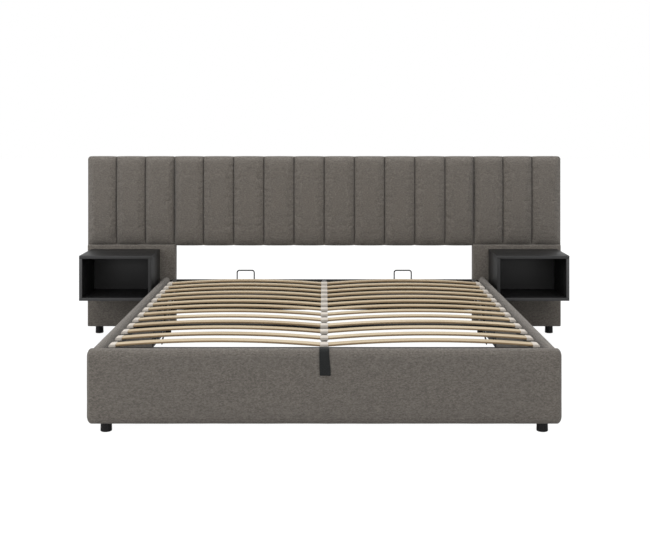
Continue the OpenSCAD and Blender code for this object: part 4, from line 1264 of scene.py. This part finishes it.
# %% Stitches
stitch_maker = Maker("stitches", Paths=None, Pitch=0.0036, Length=0.0027, Thread=0.0009)
m = stitch_maker
line = m.add("GeometryNodeMeshToCurve", {"Mesh": m.shape_of("Paths")})
spots = wire(m.tree, "GeometryNodeCurveToPoints", {"Curve": line, "Length": m.size["Pitch"]},
             mode="LENGTH").outputs
turn = m.add("FunctionNodeAlignRotationToVector", {"Vector": spots["Tangent"]}, axis="Z")
ball = m.add("GeometryNodeMeshUVSphere", {"Segments": 8, "Rings": 6, "Radius": 0.5})
size = m.vector(m.size["Thread"], m.size["Thread"], m.size["Length"])
thread = m.add("GeometryNodeTransform", {"Geometry": ball, "Scale": size})
thread = m.add("GeometryNodeSetShadeSmooth", {"Geometry": thread})
m.end(m.add("GeometryNodeInstanceOnPoints",
            {"Points": spots["Points"], "Instance": thread, "Rotation": turn}))

HEM_TOP, HEM_LOW, HEM_HALF = FOLD_Z + 0.044, FOLD_Z + 0.006, 0.0175
HEM_Y, ASKEW = FOOT_Y - 0.0050, 0.002
low_left, low_right = (2 * ASKEW - HEM_HALF, HEM_Y, HEM_LOW), (2 * ASKEW + HEM_HALF, HEM_Y, HEM_LOW)
top_right, top_left = (ASKEW + HEM_HALF, HEM_Y, HEM_TOP), (ASKEW - HEM_HALF, HEM_Y, HEM_TOP)
paths = guide_lines("hem_lines", [[low_left, low_right, top_right, top_left, low_left],
                                  [low_left, top_right], [low_right, top_left]])
stitches = stitch_maker.run("strap_stitches", thread_black, Paths=paths)
dress(stitches, "platform", "webbing")
bpy.data.objects.remove(paths)

# %% [markdown]
# ## Floor
# The bed stands on white, with only a soft shadow under it. A white surface lit by lamps would
# clip or turn grey. So the camera sees mostly a plain white glow, and a share of the lit surface
# for the shadow, and all other rays meet a pale grey floor that throws little light.

# %% Floor
REACH, PALE, PALER_SEEN, GLOW_SHARE, GLOW = 30, 0.55, 0.31, 0.84, 1.12
floor_mesh = bpy.data.meshes.new("floor")
floor_corners = [(x * REACH, y * REACH, 0) for x, y in ((-1, -1), (1, -1), (1, 1), (-1, 1))]
floor_mesh.from_pydata(floor_corners, [], [(0, 1, 2, 3)])
floor = add_object("floor", floor_mesh)
floor_paint = bpy.data.materials.new("pale_floor")
floor_paint.use_nodes = True
ft = floor_paint.node_tree
ft.nodes.clear()
seen = wire(ft, "ShaderNodeLightPath").outputs["Is Camera Ray"]
shade = calc(ft, "ADD", calc(ft, "MULTIPLY", seen, PALER_SEEN), PALE)
plain = wire(ft, "ShaderNodeBsdfDiffuse", {"Color": shade}).outputs[0]
bright = wire(ft, "ShaderNodeEmission", {"Color": (1, 1, 1, 1), "Strength": GLOW}).outputs[0]
mixed = wire(ft, "ShaderNodeMixShader", {0: calc(ft, "MULTIPLY", seen, GLOW_SHARE), 1: plain, 2: bright})
wire(ft, "ShaderNodeOutputMaterial", {"Surface": mixed.outputs[0]})
floor_mesh.materials.append(floor_paint)
print("floor laid")

# %% [markdown]
# ## World
# A studio's white surroundings light the bed evenly. The glow is a little under white, and the
# camera, reflections and clear materials see full white in its place.

# %% World
world = bpy.data.worlds.new("studio")
bpy.context.scene.world = world
world.use_nodes = True
wt = world.node_tree
wt.nodes.clear()
ray = wire(wt, "ShaderNodeLightPath").outputs
direct = calc(wt, "MAXIMUM", ray["Is Camera Ray"], ray["Is Glossy Ray"])
direct = calc(wt, "MAXIMUM", direct, ray["Is Transmission Ray"])
glow = wire(wt, "ShaderNodeBackground", {"Color": (1, 1, 1, 1), "Strength": 0.85}).outputs[0]
white = wire(wt, "ShaderNodeBackground", {"Color": (1, 1, 1, 1), "Strength": 1.0}).outputs[0]
mix = wire(wt, "ShaderNodeMixShader", {0: direct, 1: glow, 2: white})
wire(wt, "ShaderNodeOutputWorld", {"Surface": mix.outputs[0]})
print("world:", world.name)

# %% [markdown]
# ## Lamps
# In the photograph the top rolls are bright, the fronts are darker, and the headboard's left wing
# is lighter than its right one. A wide softbox overhead and a smaller one on the left give that,
# with soft shadows.

# %% Lamps
def softbox(name, place, aim, size, power):
    data = bpy.data.lights.new(name, "AREA")
    data.shape = "RECTANGLE"
    data.size, data.size_y = size
    data.energy = power
    lamp = add_object(name, data)
    lamp.location = place
    lamp.rotation_euler = (Vector(aim) - Vector(place)).to_track_quat("-Z", "Y").to_euler()
    lamp.visible_camera = False


softbox("overhead", (0, -1.4, 4.0), (0, -0.8, 0), (7.0, 6.0), 152)
softbox("left", (-6.0, -3.0, 2.2), (-0.3, -0.4, 0.6), (3.0, 3.0), 84)
bpy.context.scene.view_settings.view_transform = "Standard"
print("lamps hung")
